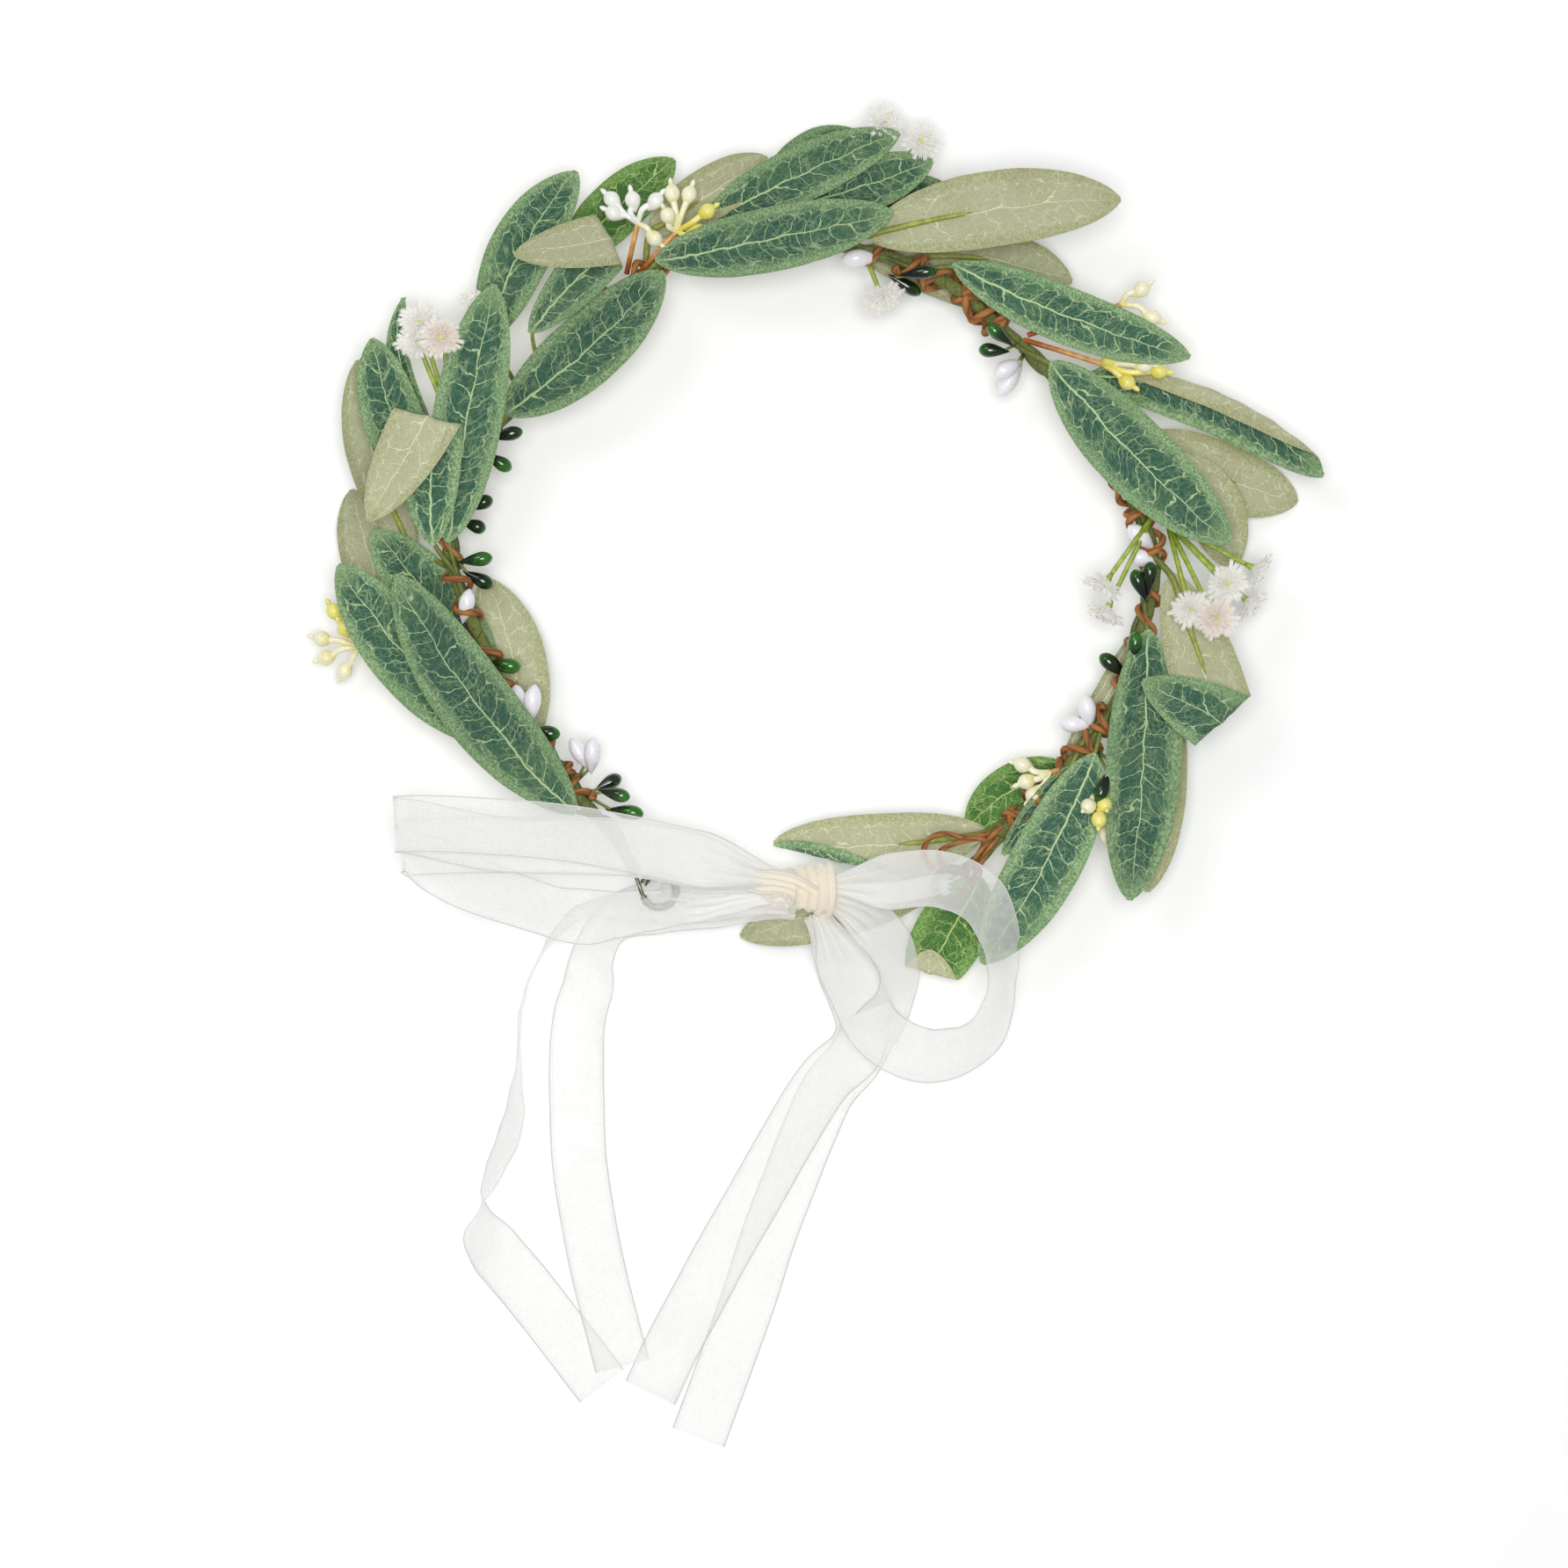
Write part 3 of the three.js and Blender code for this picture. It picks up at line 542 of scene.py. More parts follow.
PAINTS = {
    "top": leaf_paint(
        "leaf_top_cloth", tone(51, 93, 75), tone(166, 192, 144), tone(198, 222, 166), tone(100, 138, 94),
        0.68,
    ),
    "bright": leaf_paint(
        "leaf_bright_cloth", tone(64, 112, 50), tone(148, 182, 108), tone(194, 218, 138), tone(90, 138, 64),
    ),
    "under": leaf_paint(
        "leaf_under_cloth", tone(182, 184, 149), tone(190, 198, 152), tone(224, 229, 190),
        tone(164, 162, 124), 0.8, 0.95, 0.75,
    ),
    "leaf_stalk": stalk_paint("leaf_stalk", tone(84, 98, 34), tone(166, 172, 78)),
    "berry_stalk": stalk_paint("berry_stalk", tone(58, 62, 24), tone(120, 140, 60)),
    "lime_stalk": stalk_paint("gypsophila_stalk", tone(132, 156, 34), tone(168, 190, 76), 0.4),
    "orange_stalk": stalk_paint("cream_sprig_stalk", tone(176, 92, 30), tone(226, 168, 96), 0.4),
    "berry": fruit_paint(
        "berry_gloss", tone(4, 7, 4), tone(12, 42, 9), tone(44, 108, 24), 0.15, 1.0, 0.14, 0.5,
    ),
    "bud": fruit_paint(
        "bud_pearl", tone(214, 210, 216), tone(238, 236, 243), tone(246, 244, 250), 0.0, 0.7, 0.3, 0.5,
    ),
    "cream": fruit_paint(
        "cream_plastic", tone(238, 222, 160), tone(242, 236, 182), tone(247, 244, 212), 0.0, 0.6, 0.4, 0.2,
        0.1,
    ),
    "white": fruit_paint(
        "white_plastic", tone(235, 238, 226), tone(243, 245, 236), tone(248, 249, 244), 0.0, 0.6, 0.4, 0.2,
    ),
    "yellow": fruit_paint(
        "yellow_plastic", tone(226, 204, 96), tone(232, 220, 100), tone(242, 234, 136), 0.0, 0.6, 0.4, 0.2,
        0.1,
    ),
    "flower_eye": fruit_paint(
        "flower_eye", tone(120, 132, 30), tone(176, 186, 84), tone(206, 208, 120), 0.0, 0.8, 0.6, 0.0, 0.2,
    ),
    "petal": petal_paint(),
    "cord": cord_paint(),
    "tape": tape_paint(),
    "wire": wire_paint(),
    "ribbon": organza_paint("organza", tone(247, 247, 245), tone(253, 245, 228), 0.22, 0.40, 0.14),
    "knot": organza_paint("organza_knot", tone(252, 246, 232), tone(252, 240, 216), 0.12, 0.08, 0.14),
}

# ---------------------------------------------------------------- the ring
STEM_HEIGHT = 16
TAPE_RADIUS = 1.7
WIRE_RADIUS = 0.55
EYELET_RADIUS = 4.5
STEM = smooth_path(
    [
        (x, y, STEM_HEIGHT)
        for x, y in (
            (-44, -83), (-50, -73), (-59, -63), (-76, -40), (-90, -10), (-94, 4), (-89, 22), (-76, 44),
            (-39, 79), (-10, 87), (17, 83), (38, 75), (56, 60), (66, 51), (89.5, 14), (94, 0),
            (91.5, -16), (83, -39), (65, -61), (50, -76), (45.5, -82),
        )
    ],
    0.8,
)
STEM_LENGTH = length_of(STEM)
STEM_AHEAD = headings(STEM)


def stem_at(distance):
    """The stem's place and heading at a distance from its left end."""
    at = np.clip(distance / STEM_LENGTH, 0, 1) * (len(STEM) - 1)
    low = min(int(at), len(STEM) - 2)
    return STEM[low] + (STEM[low + 1] - STEM[low]) * (at - low), STEM_AHEAD[low]


def around_stem(distance, turn, reach):
    """A point beside the stem, where turn 0 is level and outward and a quarter turn is on top."""
    here, ahead = stem_at(distance)
    outward = unit(np.cross(ahead, UP))
    return here + outward * reach * math.cos(turn) + UP * reach * math.sin(turn)


def nearest_on_stem(point):
    steps = np.linalg.norm(STEM - np.array(point, float), axis=1)
    return int(np.argmin(steps)) / (len(STEM) - 1) * STEM_LENGTH


def make_ring():
    tape = Shape()
    bulge = 1 + 0.07 * np.sin(np.arange(len(STEM)) * 0.77) + 0.05 * np.sin(np.arange(len(STEM)) * 0.31)
    add_tube(tape, STEM, TAPE_RADIUS * bulge, 14)
    make_piece("stem_crepe_tape", tape, [PAINTS["tape"]], ["stem_tape"])
    wire = Shape()
    ends = []
    for centre, start, sweep in (((-38, -87.5), 200, 318), ((40, -86), -14.5, -318)):
        turns = np.radians(start + sweep * np.linspace(0, 1, 15))
        ends.append(
            [
                (
                    centre[0] + EYELET_RADIUS * math.cos(a), centre[1] + EYELET_RADIUS * math.sin(a),
                    STEM_HEIGHT,
                ) for a in turns
            ]
        )
    line = smooth_path([*reversed(ends[0]), *[tuple(p) for p in STEM[4:-4:12]], *ends[1]], 1.0)
    add_tube(wire, line, WIRE_RADIUS, 10)
    make_piece("core_wire_loop", wire, [PAINTS["wire"]], ["core_wire"])
    for name, end, paint in zip(("left", "right"), ends, ("wire", "tape")):
        wrap = Shape()
        add_tube(wrap, smooth_path(end, 0.7), 1.05, 10, seed=0.4, ridges=3, twist=1.2, depth=0.16)
        make_piece(f"eyelet_wrap_{name}", wrap, [PAINTS[paint]])


make_ring()

# ---------------------------------------------------------------- paper cord
CORD_RADIUS = 0.95
CORD_PITCH = 9.5
CORD_TWIST = 0.45


def cord_winding(start, end, hand=1, reach=3.0, pitch=CORD_PITCH, turn=0.0):
    """Points of a hand-wound spiral between two shares of the stem's length."""
    first, last = start * STEM_LENGTH, end * STEM_LENGTH
    count = int((last - first) / pitch * 26)
    points = []
    for i in range(count + 1):
        along = first + (last - first) * i / count
        angle = turn + hand * 2 * math.pi * ((along - first) / pitch + 0.13 * math.sin(along * 0.21))
        points.append(
            around_stem(along + 0.9 * math.sin(along * 0.5), angle, reach + 0.3 * math.sin(along * 0.37))
        )
    return np.array(points)


def add_cord(shape, path, radius=CORD_RADIUS):
    add_tube(shape, path, radius, 9, seed=dice.random(), ridges=2, twist=CORD_TWIST, depth=0.09)


def make_cords():
    left = Shape()
    add_cord(left, cord_winding(0.05, 0.25))
    add_cord(left, cord_winding(0.05, 0.10, -1, 3.5, 6.0))
    make_piece("paper_cord_winding_left", left, [PAINTS["cord"]], ["paper_cord_left"])
    top = Shape()
    add_cord(top, cord_winding(0.36, 0.63))
    add_cord(top, cord_winding(0.560, 0.632, -1, 3.4, 12.0), 1.1)
    add_cord(top, cord_winding(0.605, 0.634, 1, 3.7, 5.2, 1.5), 1.1)
    make_piece("paper_cord_winding_top", top, [PAINTS["cord"]], ["paper_cord_top"])
    right = Shape()
    add_cord(right, cord_winding(0.70, 0.97))
    add_cord(right, cord_winding(0.72, 0.80, -1, 3.5, 11.0, 0.8))
    add_cord(right, cord_winding(0.88, 0.965, -1, 3.5, 8.0))
    make_piece("paper_cord_winding_right", right, [PAINTS["cord"]], ["paper_cord_right"])
    ends = Shape()
    for points in (
        [(50, -72, 19.5), (44, -73.5, 21), (38, -72.2, 21), (33.5, -74, 20), (32.5, -78, 19), (35, -82, 18)],
        [(50, -74, 20), (46, -73.6, 22), (41.5, -74.6, 22), (36.5, -77.5, 20), (38, -82, 18)],
        [(53, -70, 20.3), (48, -76, 20.4), (44.5, -81.5, 19.5), (43, -84, 17.8)],
        [(52, -73, 19), (49, -77.5, 19.5), (46.5, -82, 18.6), (45.5, -86, 17)],
    ):
        add_cord(ends, smooth_path(points, 0.7), 0.72)
    make_piece("paper_cord_loose_end", ends, [PAINTS["cord"]])


make_cords()

# ---------------------------------------------------------------- leaves
# Each leaf runs from `base` to `tip` and bulges sideways by `bow`. A leaf that is folded over has
# its first crease at `tip`, with `past` millimetres of leaf beyond it. Every crease is a place along
# and across the leaf, the crease's angle off square and its bend radius. `look` is the side that
# shows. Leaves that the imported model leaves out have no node.
LEAF_THICKNESS = 0.4
LEAF_STALK_HALF_WIDTH = 0.7
LEAF_CUP = 1.2
LEAF_FOLD_RADIUS = 1.6
LEAF_ROWS = 84
LEAF_SIDE_COLUMNS = 11


def leaf(base, tip, width, bow=0.0, look="top", past=0.0, skew=0.0, creases=(), node=True, wire=0.46):
    reach = float(np.linalg.norm(np.array(tip, float) - np.array(base, float)))
    folds = [(reach, 0.0, -skew, LEAF_FOLD_RADIUS)] if past else []
    return {
        "base": np.array(base, float), "tip": np.array(tip, float), "width": width, "bow": bow,
        "look": look, "past": past, "folds": folds + list(creases), "node": node, "wire": wire,
    }


LEAVES = [
    leaf((-60, -67, 21.5), (-107, -4, 30), 20, -3.5),
    leaf((-83, -48, 16), (-123, -1, 22), 19, -2),
    leaf((-82, -36, 9.5), (-115, 9, 10.2), 18, 2),
    leaf((-108, -20, 7), (-121.5, 20.5, 1), 15, -1, "under"),
    leaf((-75, -53, 9), (-85, -3.5, 6), 18, 3, "under"),
    leaf((-98, 4, 21.5), (-98.3, 36, 29), 17.5, past=35, skew=-15.2),
    leaf((-94, 5, 20.8), (-81, 72.5, 30.5), 18.5, -0.5),
    leaf((-98, 15, 15.5), (-114, 59, 23), 16, -2),
    leaf((-104, 3, 8), (-118.5, 54, 15), 14, -3, "under"),
    leaf((-79, 39, 20.5), (-36.5, 76.5, 24), 19, 2),
    leaf((-84, 60, 12), (-60, 104, 18), 17, -3),
    leaf((-72, 60, 27), (-51.2, 82.4, 32), 14, past=29, skew=-19.1),
    leaf((-39, 80, 20.8), (24, 91.5, 30), 17, 1),
    leaf((-27, 90, 13), (26, 114, 19), 15, -1),
    leaf((-14, 91, 10), (43, 98.5, 10), 16, -2),
    leaf((-10, 95, 5), (18, 116, 1), 16, -3),
    leaf((17, 86, 24), (84, 95, 30), 20, -2, "under"),
    leaf((40, 79, 20.5), (103, 54, 23), 15, 2),
    leaf((15, 84, 9), (60, 67.5, 8), 13, -1.5, "under"),
    leaf((66, 53, 21.5), (113, 4.5, 28), 20, 2),
    leaf((76, 50, 15), (139, 23, 17), 16.5, -6.6, creases=[(0, -2.0, -90, 0.7)]),
    leaf((92, 34, 10), (134, 17, 1), 18, 2, "under", wire=0.66),
    leaf((98, -3, 20), (110.5, -41, 26), 19, past=27, skew=21.9, look="under"),
    leaf((92, -18, 20.8), (87, -90, 22), 20, -1),
    leaf((78, -51, 20.8), (48, -107, 19), 19, -2),
    leaf((48, -84, 13), (31, -115.5, 6), 19, look="bright", wire=0.2, creases=[(29, 0, -12, 0.5)]),
    leaf((50, -72, 10), (-7.5, -75, 10), 17, -2, "under", creases=[(45, -2.6, -77, 0.4)]),
    leaf((-99.5, 38, 14), (-106, 70.5, 17), 6, -4.5, node=False),
    leaf((-64, 80, 9), (-34, 108, 12), 15, -1, "bright", node=False),
    leaf((-41, 88, 13), (-9, 108.5, 12), 14, 0, "under", node=False),
    leaf((-8, 94, 14.5), (35, 107, 16), 15, 1, node=False),
    leaf((33, 82, 12), (72.5, 75.5, 11), 15, -2, "under", node=False),
    leaf((100, 30, 9), (116.5, -1, 6), 16, -2, "under", node=False),
    leaf((38, -85, 10), (-16.5, -100, 4.5), 15, 0, "under", node=False),
    leaf((71, -54, 12), (44, -71, 8), 14, 2, "bright", node=False),
    leaf((72, -54, 19.3), (53.5, -78, 18.5), 7, 0, node=False),
    leaf((92, -16, 11), (70, -54.5, 10), 8, -1, "under", node=False),
    leaf((96, -30, 13), (92.5, -88, 13), 15, -1, "under", node=False),
]


def leaf_half_width(width, share):
    """A stalk, nearly parallel sides and a blunt point."""
    fullness = 1 - np.abs(2 * np.clip(share, 0, 1) - 1) ** 2.3
    return np.maximum(LEAF_STALK_HALF_WIDTH, width / 2 * np.maximum(fullness, 0) ** 0.66)


def rolled_over(past, height, bend):
    """Rolls whatever lies past a crease up and back over the leaf."""
    turn = np.clip(past / bend, 0, math.pi)
    folded = past - turn * bend
    flat = past <= 0
    level = np.where(flat, past, (bend - height) * np.sin(turn) - np.maximum(folded, 0))
    lifted = np.where(flat, height, bend - (bend - height) * np.cos(turn))
    return level, lifted


def leaf_surface(one, along, across, height):
    """Where points of the flat leaf, lifted by height, are on the shaped leaf."""
    reach = np.linalg.norm(one["tip"] - one["base"])
    length = reach + one["past"]
    forward = (one["tip"] - one["base"]) / reach
    right = unit(np.cross(forward, UP))
    above = np.cross(right, forward)
    middle = 0 if one["past"] else 4 * along / length * (1 - along / length)
    for crease_along, crease_across, angle, bend in one["folds"]:
        ahead, aside = math.cos(math.radians(angle)), math.sin(math.radians(angle))
        past = (along - crease_along) * ahead + (across - crease_across) * aside
        level, height = rolled_over(past, height, bend)
        along = along + (level - past) * ahead
        across = across + (level - past) * aside
    along, across = along[..., None], (across + one["bow"] * middle)[..., None]
    return one["base"] + forward * along + right * across + above * height[..., None]


def leaf_height(one, along, across, seed):
    """The cloth's own relief: a cupped section, a pressed midrib and soft waves at its edges."""
    length = np.linalg.norm(one["tip"] - one["base"]) + one["past"]
    outer = np.abs(across) / (one["width"] / 2)
    cup = 0 if one["folds"] else LEAF_CUP * outer**2
    pressed = 0.45 * np.exp(-((across / 1.3) ** 2))
    ripple = 0.42 * np.sin(along * 0.42 + 9 * seed + np.sign(across)) * outer**2
    puffs = 0.10 * np.sin(along * 0.70 - np.abs(across) * 0.45 + 5 * seed) * np.minimum(outer * 3, 1)
    camber = 0 if one["folds"] else 1.1 * np.sin(math.pi * along / length)
    return cup + ripple + puffs + camber - pressed


def make_leaf(number, one):
    seed = dice.random()
    length = np.linalg.norm(one["tip"] - one["base"]) + one["past"]
    even = np.linspace(0, 1, LEAF_ROWS + 1)
    share = 0.6 * even + 0.4 * (1 - np.cos(math.pi * even)) / 2
    side = np.linspace(-1, 1, 2 * LEAF_SIDE_COLUMNS + 1)
    half = leaf_half_width(one["width"], share)
    along = np.repeat(share[:, None] * length, len(side), axis=1)
    across = half[:, None] * side[None, :]
    height = leaf_height(one, along, across, seed)
    upper = leaf_surface(one, along, across, height + LEAF_THICKNESS / 2)
    lower = leaf_surface(one, along, across, height - LEAF_THICKNESS / 2)
    place = np.stack([across, along, np.broadcast_to(half[:, None], along.shape)], axis=-1)
    shares = np.stack(np.broadcast_arrays(side[None, :], share[:, None], seed), axis=-1)
    shape = Shape()
    shows_under = one["look"] == "under"
    add_slab(shape, upper, lower, place, shares, (1, 0, 1) if shows_under else (0, 1, 1))
    printed = PAINTS["bright" if one["look"] == "bright" else "top"]
    nodes = [f"leaf_{number:02d}"] if one["node"] else []
    make_piece(f"cloth_leaf_{number:02d}", shape, [printed, PAINTS["under"]], nodes)
    make_leaf_stalk(number, one, length, seed)


def make_leaf_stalk(number, one, length, seed):
    """The wire glued along the leaf's pale side, and the stalk that it runs on as, beside the stem."""
    shown = one["look"] == "under"
    along = np.linspace(0.02, one["wire"], 14) * length
    height = leaf_height(one, along, np.zeros_like(along), seed) + (0.55 if shown else -0.95)
    glued = leaf_surface(one, along, np.zeros_like(along), height)
    foot = nearest_on_stem(one["base"] - 5 * unit(one["tip"] - one["base"]))
    turn = math.radians(60 if one["base"][2] > STEM_HEIGHT else -60) + 0.9 * (seed - 0.5)
    start = around_stem(foot - 12, turn, 1.6)
    middle = around_stem(foot - 3, turn, 2.5)
    path = smooth_path([start, middle, *glued[::3]], 1.2)
    thin = np.interp(
        np.linspace(0, 1, len(path)), [0, 0.3, 0.5, 0.92, 1],
        [0.8, 0.9, 0.9, 0.6, 0.12] if shown else [0.8, 0.7, 0.5, 0.4, 0.12],
    )
    shape = Shape()
    add_tube(shape, path, thin, 8, seed=seed)
    make_piece(f"leaf_stalk_{number:02d}", shape, [PAINTS["leaf_stalk"]])


for index, one_leaf in enumerate(LEAVES):
    make_leaf(index + 1, one_leaf)

# ---------------------------------------------------------------- berries and buds
# A sprig is a foot on the stem and its fruits, each from its base to its tip.
BERRY_RADIUS = 2.0
BUD_RADIUS = 2.3
BERRIES = {
    "left_upper": (
        (-84.5, 30, 19.2), [((-82, 33, 19.5), (-75, 34.5, 19.5)), ((-83, 28, 19.5), (-78, 25, 18))],
    ),
    "left_middle": ((-91, 1, 19.5), [((-90, 0, 20), (-83, 1, 20)), ((-89, -3, 17), (-83, -6, 16))]),
    "left_end": (
        (-56, -61, 17),
        [
            ((-53, -61, 18), (-46.5, -62.5, 19)), ((-54, -60, 15), (-49, -57.5, 13)),
            ((-51, -66, 16), (-43, -67, 17)),
        ],
    ),
    "top": ((30, 74.5, 20.5), [((27, 76, 21), (35, 77, 22)), ((24, 76, 17), (31, 72, 15))]),
    "right_upper": ((57, 57.5, 19.5), [((55, 58, 21.5), (50, 62, 23)), ((54, 56, 18.5), (48, 56.5, 17.5))]),
    "right": ((91, -10, 19.8), [((91, -9.5, 20.5), (88.5, -3, 20.5)), ((92, -8, 20.5), (92.5, -1, 21.5))]),
}
MORE_BERRIES = {
    "left_inner": (
        (-91, 12, 18), [((-88.5, 14.5, 18), (-83, 16.5, 18)), ((-89.5, 10.5, 17), (-85, 9, 16.5))],
    ),
    "left_lower": ((-84.5, -25, 18), [((-83, -27, 18.5), (-75.5, -28, 19))]),
    "left_foot": (
        (-74, -43.5, 18), [((-72.5, -45.3, 19), (-65, -45.8, 20)), ((-73, -48, 16.5), (-66.5, -50, 16))],
    ),
    "right_middle": (
        (87.5, -29, 18.5), [((87.8, -27, 19.8), (88.8, -19.5, 20.8)), ((86, -30, 19), (80, -25.3, 19.5))],
    ),
    "right_lower": (
        (81, -52, 20), [((81.3, -56, 23), (78.6, -63, 24)), ((82.5, -53, 18.5), (82.5, -59.5, 18.5))],
    ),
}
BUDS = {
    "left": (
        (-57.5, -56.5, 17),
        [((-57.5, -54, 16.5), (-61, -47.5, 16.5)), ((-56, -55, 18), (-55.5, -47.5, 19))],
    ),
    "upper_right": ((58, 54, 16), [((57.5, 53, 17), (52, 50, 19)), ((58, 52, 15), (53, 45, 14))]),
    "right": ((77, -44, 17.5), [((75.5, -43.5, 17.5), (69.5, -43, 17)), ((76.5, -43, 18), (75.5, -36, 19))]),
}
MORE_BUDS = {
    "left_middle": ((-90.5, -17, 17), [((-90, -15, 17.5), (-88.5, -8, 18))]),
    "left_lower": (
        (-74, -44, 17), [((-72.5, -42, 19), (-71, -33.5, 20)), ((-75, -40, 18), (-76, -33.5, 18))],
    ),
    "top": ((20, 81.5, 18), [((19, 81, 18.5), (11.5, 80.5, 19))]),
    "right_middle": ((94, 2, 18), [((92.5, 4.5, 19), (87.5, 9, 19.5)), ((93.5, 0, 18), (87.5, 2.0, 18.5))]),
}


FRUIT_FORMS = {"berries": (1.9, 0.52), "buds": (1.35, 0.6)}  # the sharpness and fullness of each drop


def make_fruit(kind, name, foot, fruits, radius, packed):
    shape = Shape()
    root, _ = stem_at(nearest_on_stem(foot))
    for base, tip in fruits:
        seed = dice.random()
        start, end = np.array(base, float), np.array(tip, float)
        add_stalk(shape, (root + np.array(foot)) / 2, start + (end - start) * 0.06, 0.5, 0.42, 1, seed, 0.5)
        start, end = start - 1.6 * unit(end - start), end + 0.9 * unit(end - start)
        sharpness, fullness = FRUIT_FORMS[kind]
        add_bulb(shape, start, end, radius * (0.92 + 0.16 * dice.random()), sharpness, fullness, seed=seed)
    nodes = [f"{kind}_{name}"] if packed else []
    slot = {"berries": "berry", "buds": "bud"}[kind]
    make_piece(f"{kind}_sprig_{name}", shape, [PAINTS[slot], PAINTS["berry_stalk"]], nodes)


for kind, groups, radius in (
    ("berries", (BERRIES, MORE_BERRIES), BERRY_RADIUS),
    ("buds", (BUDS, MORE_BUDS), BUD_RADIUS),
):
    for group in groups:
        for name, (foot, fruits) in group.items():
            make_fruit(kind, name, foot, fruits, radius, group is groups[0])

# ---------------------------------------------------------------- gypsophila
# A sprig is a foot and its heads. Each head has its place, how far it faces up, from 0, along its
# stalk, to 1, straight up, and whether it is pink.
FLOWER_RADIUS = 6.0
# Each ring is its number of petals, how far they lean out in degrees, and their size.
PETAL_RINGS = ((24, 86, 1.0), (22, 68, 0.92), (18, 48, 0.78), (12, 26, 0.6))
FLOWERS = {
    "left": (
        (-91, 31, 16), [(-101, 62.5, 25, 0.7, 0), (-94.8, 58.2, 32.5, 1.0, 1), (-85.5, 66.5, 22, 0.4, 0)],
    ),
    "top": ((6, 94, 8), [(22, 116.5, 15, 0.6, 0), (31.5, 112, 15, 0.7, 0)]),
    "right_inner": ((92.8, 11.5, 20.5), [(81, -5, 23, 0.15, 0), (81.5, -12, 20, 0.2, 0)]),
    "right_outer": (
        (97.5, 10.5, 16),
        [
            (112, -6, 26, 0.8, 0), (102.5, -12.5, 26, 0.7, 0), (109, -15, 27, 0.8, 1),
            (120, -1.5, 18, 0.1, 0), (118.5, -10, 16, 0.15, 0),
        ],
    ),
}
MORE_FLOWERS = {
    "top_inner": ((17, 82, 15), [(21, 71.5, 18, 0.3, 0)]),
    "left_back": ((-91, 31, 18), [(-101.5, 57, 24, 0.6, 0)]),
}


def add_petal(shape, root, axis, around, tilt, reach, seed):
    """A narrow petal with a toothed end, that rises from the flower's middle and bends outward."""
    rows, columns = 6, 5
    t = np.linspace(0, 1, rows)[:, None]
    s = np.linspace(-1, 1, columns)[None, :]
    bend = tilt * (0.35 + 0.65 * t)
    step = reach / (rows - 1)
    level = np.concatenate([[[0.0]], np.cumsum(np.sin(bend[1:]) * step, axis=0)]) + 0.35
    rise = np.concatenate([[[0.0]], np.cumsum(np.cos(bend[1:]) * step, axis=0)])
    teeth = np.where(t > 0.95, 0.42 * np.cos(2 * math.pi * s), 0)
    half = 0.13 + 0.38 * np.sin(math.pi * np.minimum(t * 0.62 + 0.05, 0.5))
    curl = 0.16 * s**2
    aside = np.cross(axis, around)
    middle = root + around * (level + teeth)[..., None] + axis * (rise + curl)[..., None]
    middle = middle + aside * (half * s)[..., None]
    flat = np.cos(bend)[..., None] * around - np.sin(bend)[..., None] * axis
    offset = np.broadcast_to(flat * 0.07, middle.shape)
    place = np.stack(np.broadcast_arrays(half * s, t * reach, half), axis=-1)
    shares = np.stack(np.broadcast_arrays(s, t, seed), axis=-1)
    add_slab(shape, middle - offset, middle + offset, place, shares)


def add_flower(shape, foot, x, y, z, facing, pink):
    """One head on its stalk: a green cup, rings of petals and a small eye."""
    head, foot = np.array([x, y, z], float), np.array(foot, float)
    axis = unit(unit(head - foot) * (1 - facing) + UP * facing)
    bottom = head - axis * 2.4
    add_stalk(shape, foot, bottom, 0.72, 0.66, 1, dice.random(), 0.6)
    cup = smooth_path([bottom, bottom + axis * 1.2, head], 0.4)
    add_tube(shape, cup, np.linspace(0.5, 1.05, len(cup)), 10, 1, 0.5)
    side = unit(np.cross(axis, UP if abs(axis[2]) < 0.9 else np.array([1.0, 0, 0])))
    face = np.cross(axis, side)
    for count, tilt, size in PETAL_RINGS:
        start = dice.random() * 6
        for i in range(count):
            angle = start + 2 * math.pi * (i + 0.3 * dice.random()) / count
            around = side * math.cos(angle) + face * math.sin(angle)
            lean = math.radians(tilt + dice.uniform(-12, 9))
            reach = FLOWER_RADIUS * size * dice.uniform(0.78, 1.14)
            seed = 0.9 + 0.1 * dice.random() if pink else 0.7 * dice.random()
            add_petal(shape, head - axis * 0.5, axis, around, lean, reach, seed)
    add_bulb(shape, head - axis * 0.4, head + axis * 1.7, 1.05, 1.3, 0.6, 2, dice.random(), 10, 8)


for group in (FLOWERS, MORE_FLOWERS):
    for name, (foot, heads) in group.items():
        sprig = Shape()
        for head in heads:
            add_flower(sprig, foot, *head)
        materials = [PAINTS["petal"], PAINTS["lime_stalk"], PAINTS["flower_eye"]]
        nodes = [f"gypsophila_{name}"] if group is FLOWERS else []
        make_piece(f"gypsophila_sprig_{name}", sprig, materials, nodes)

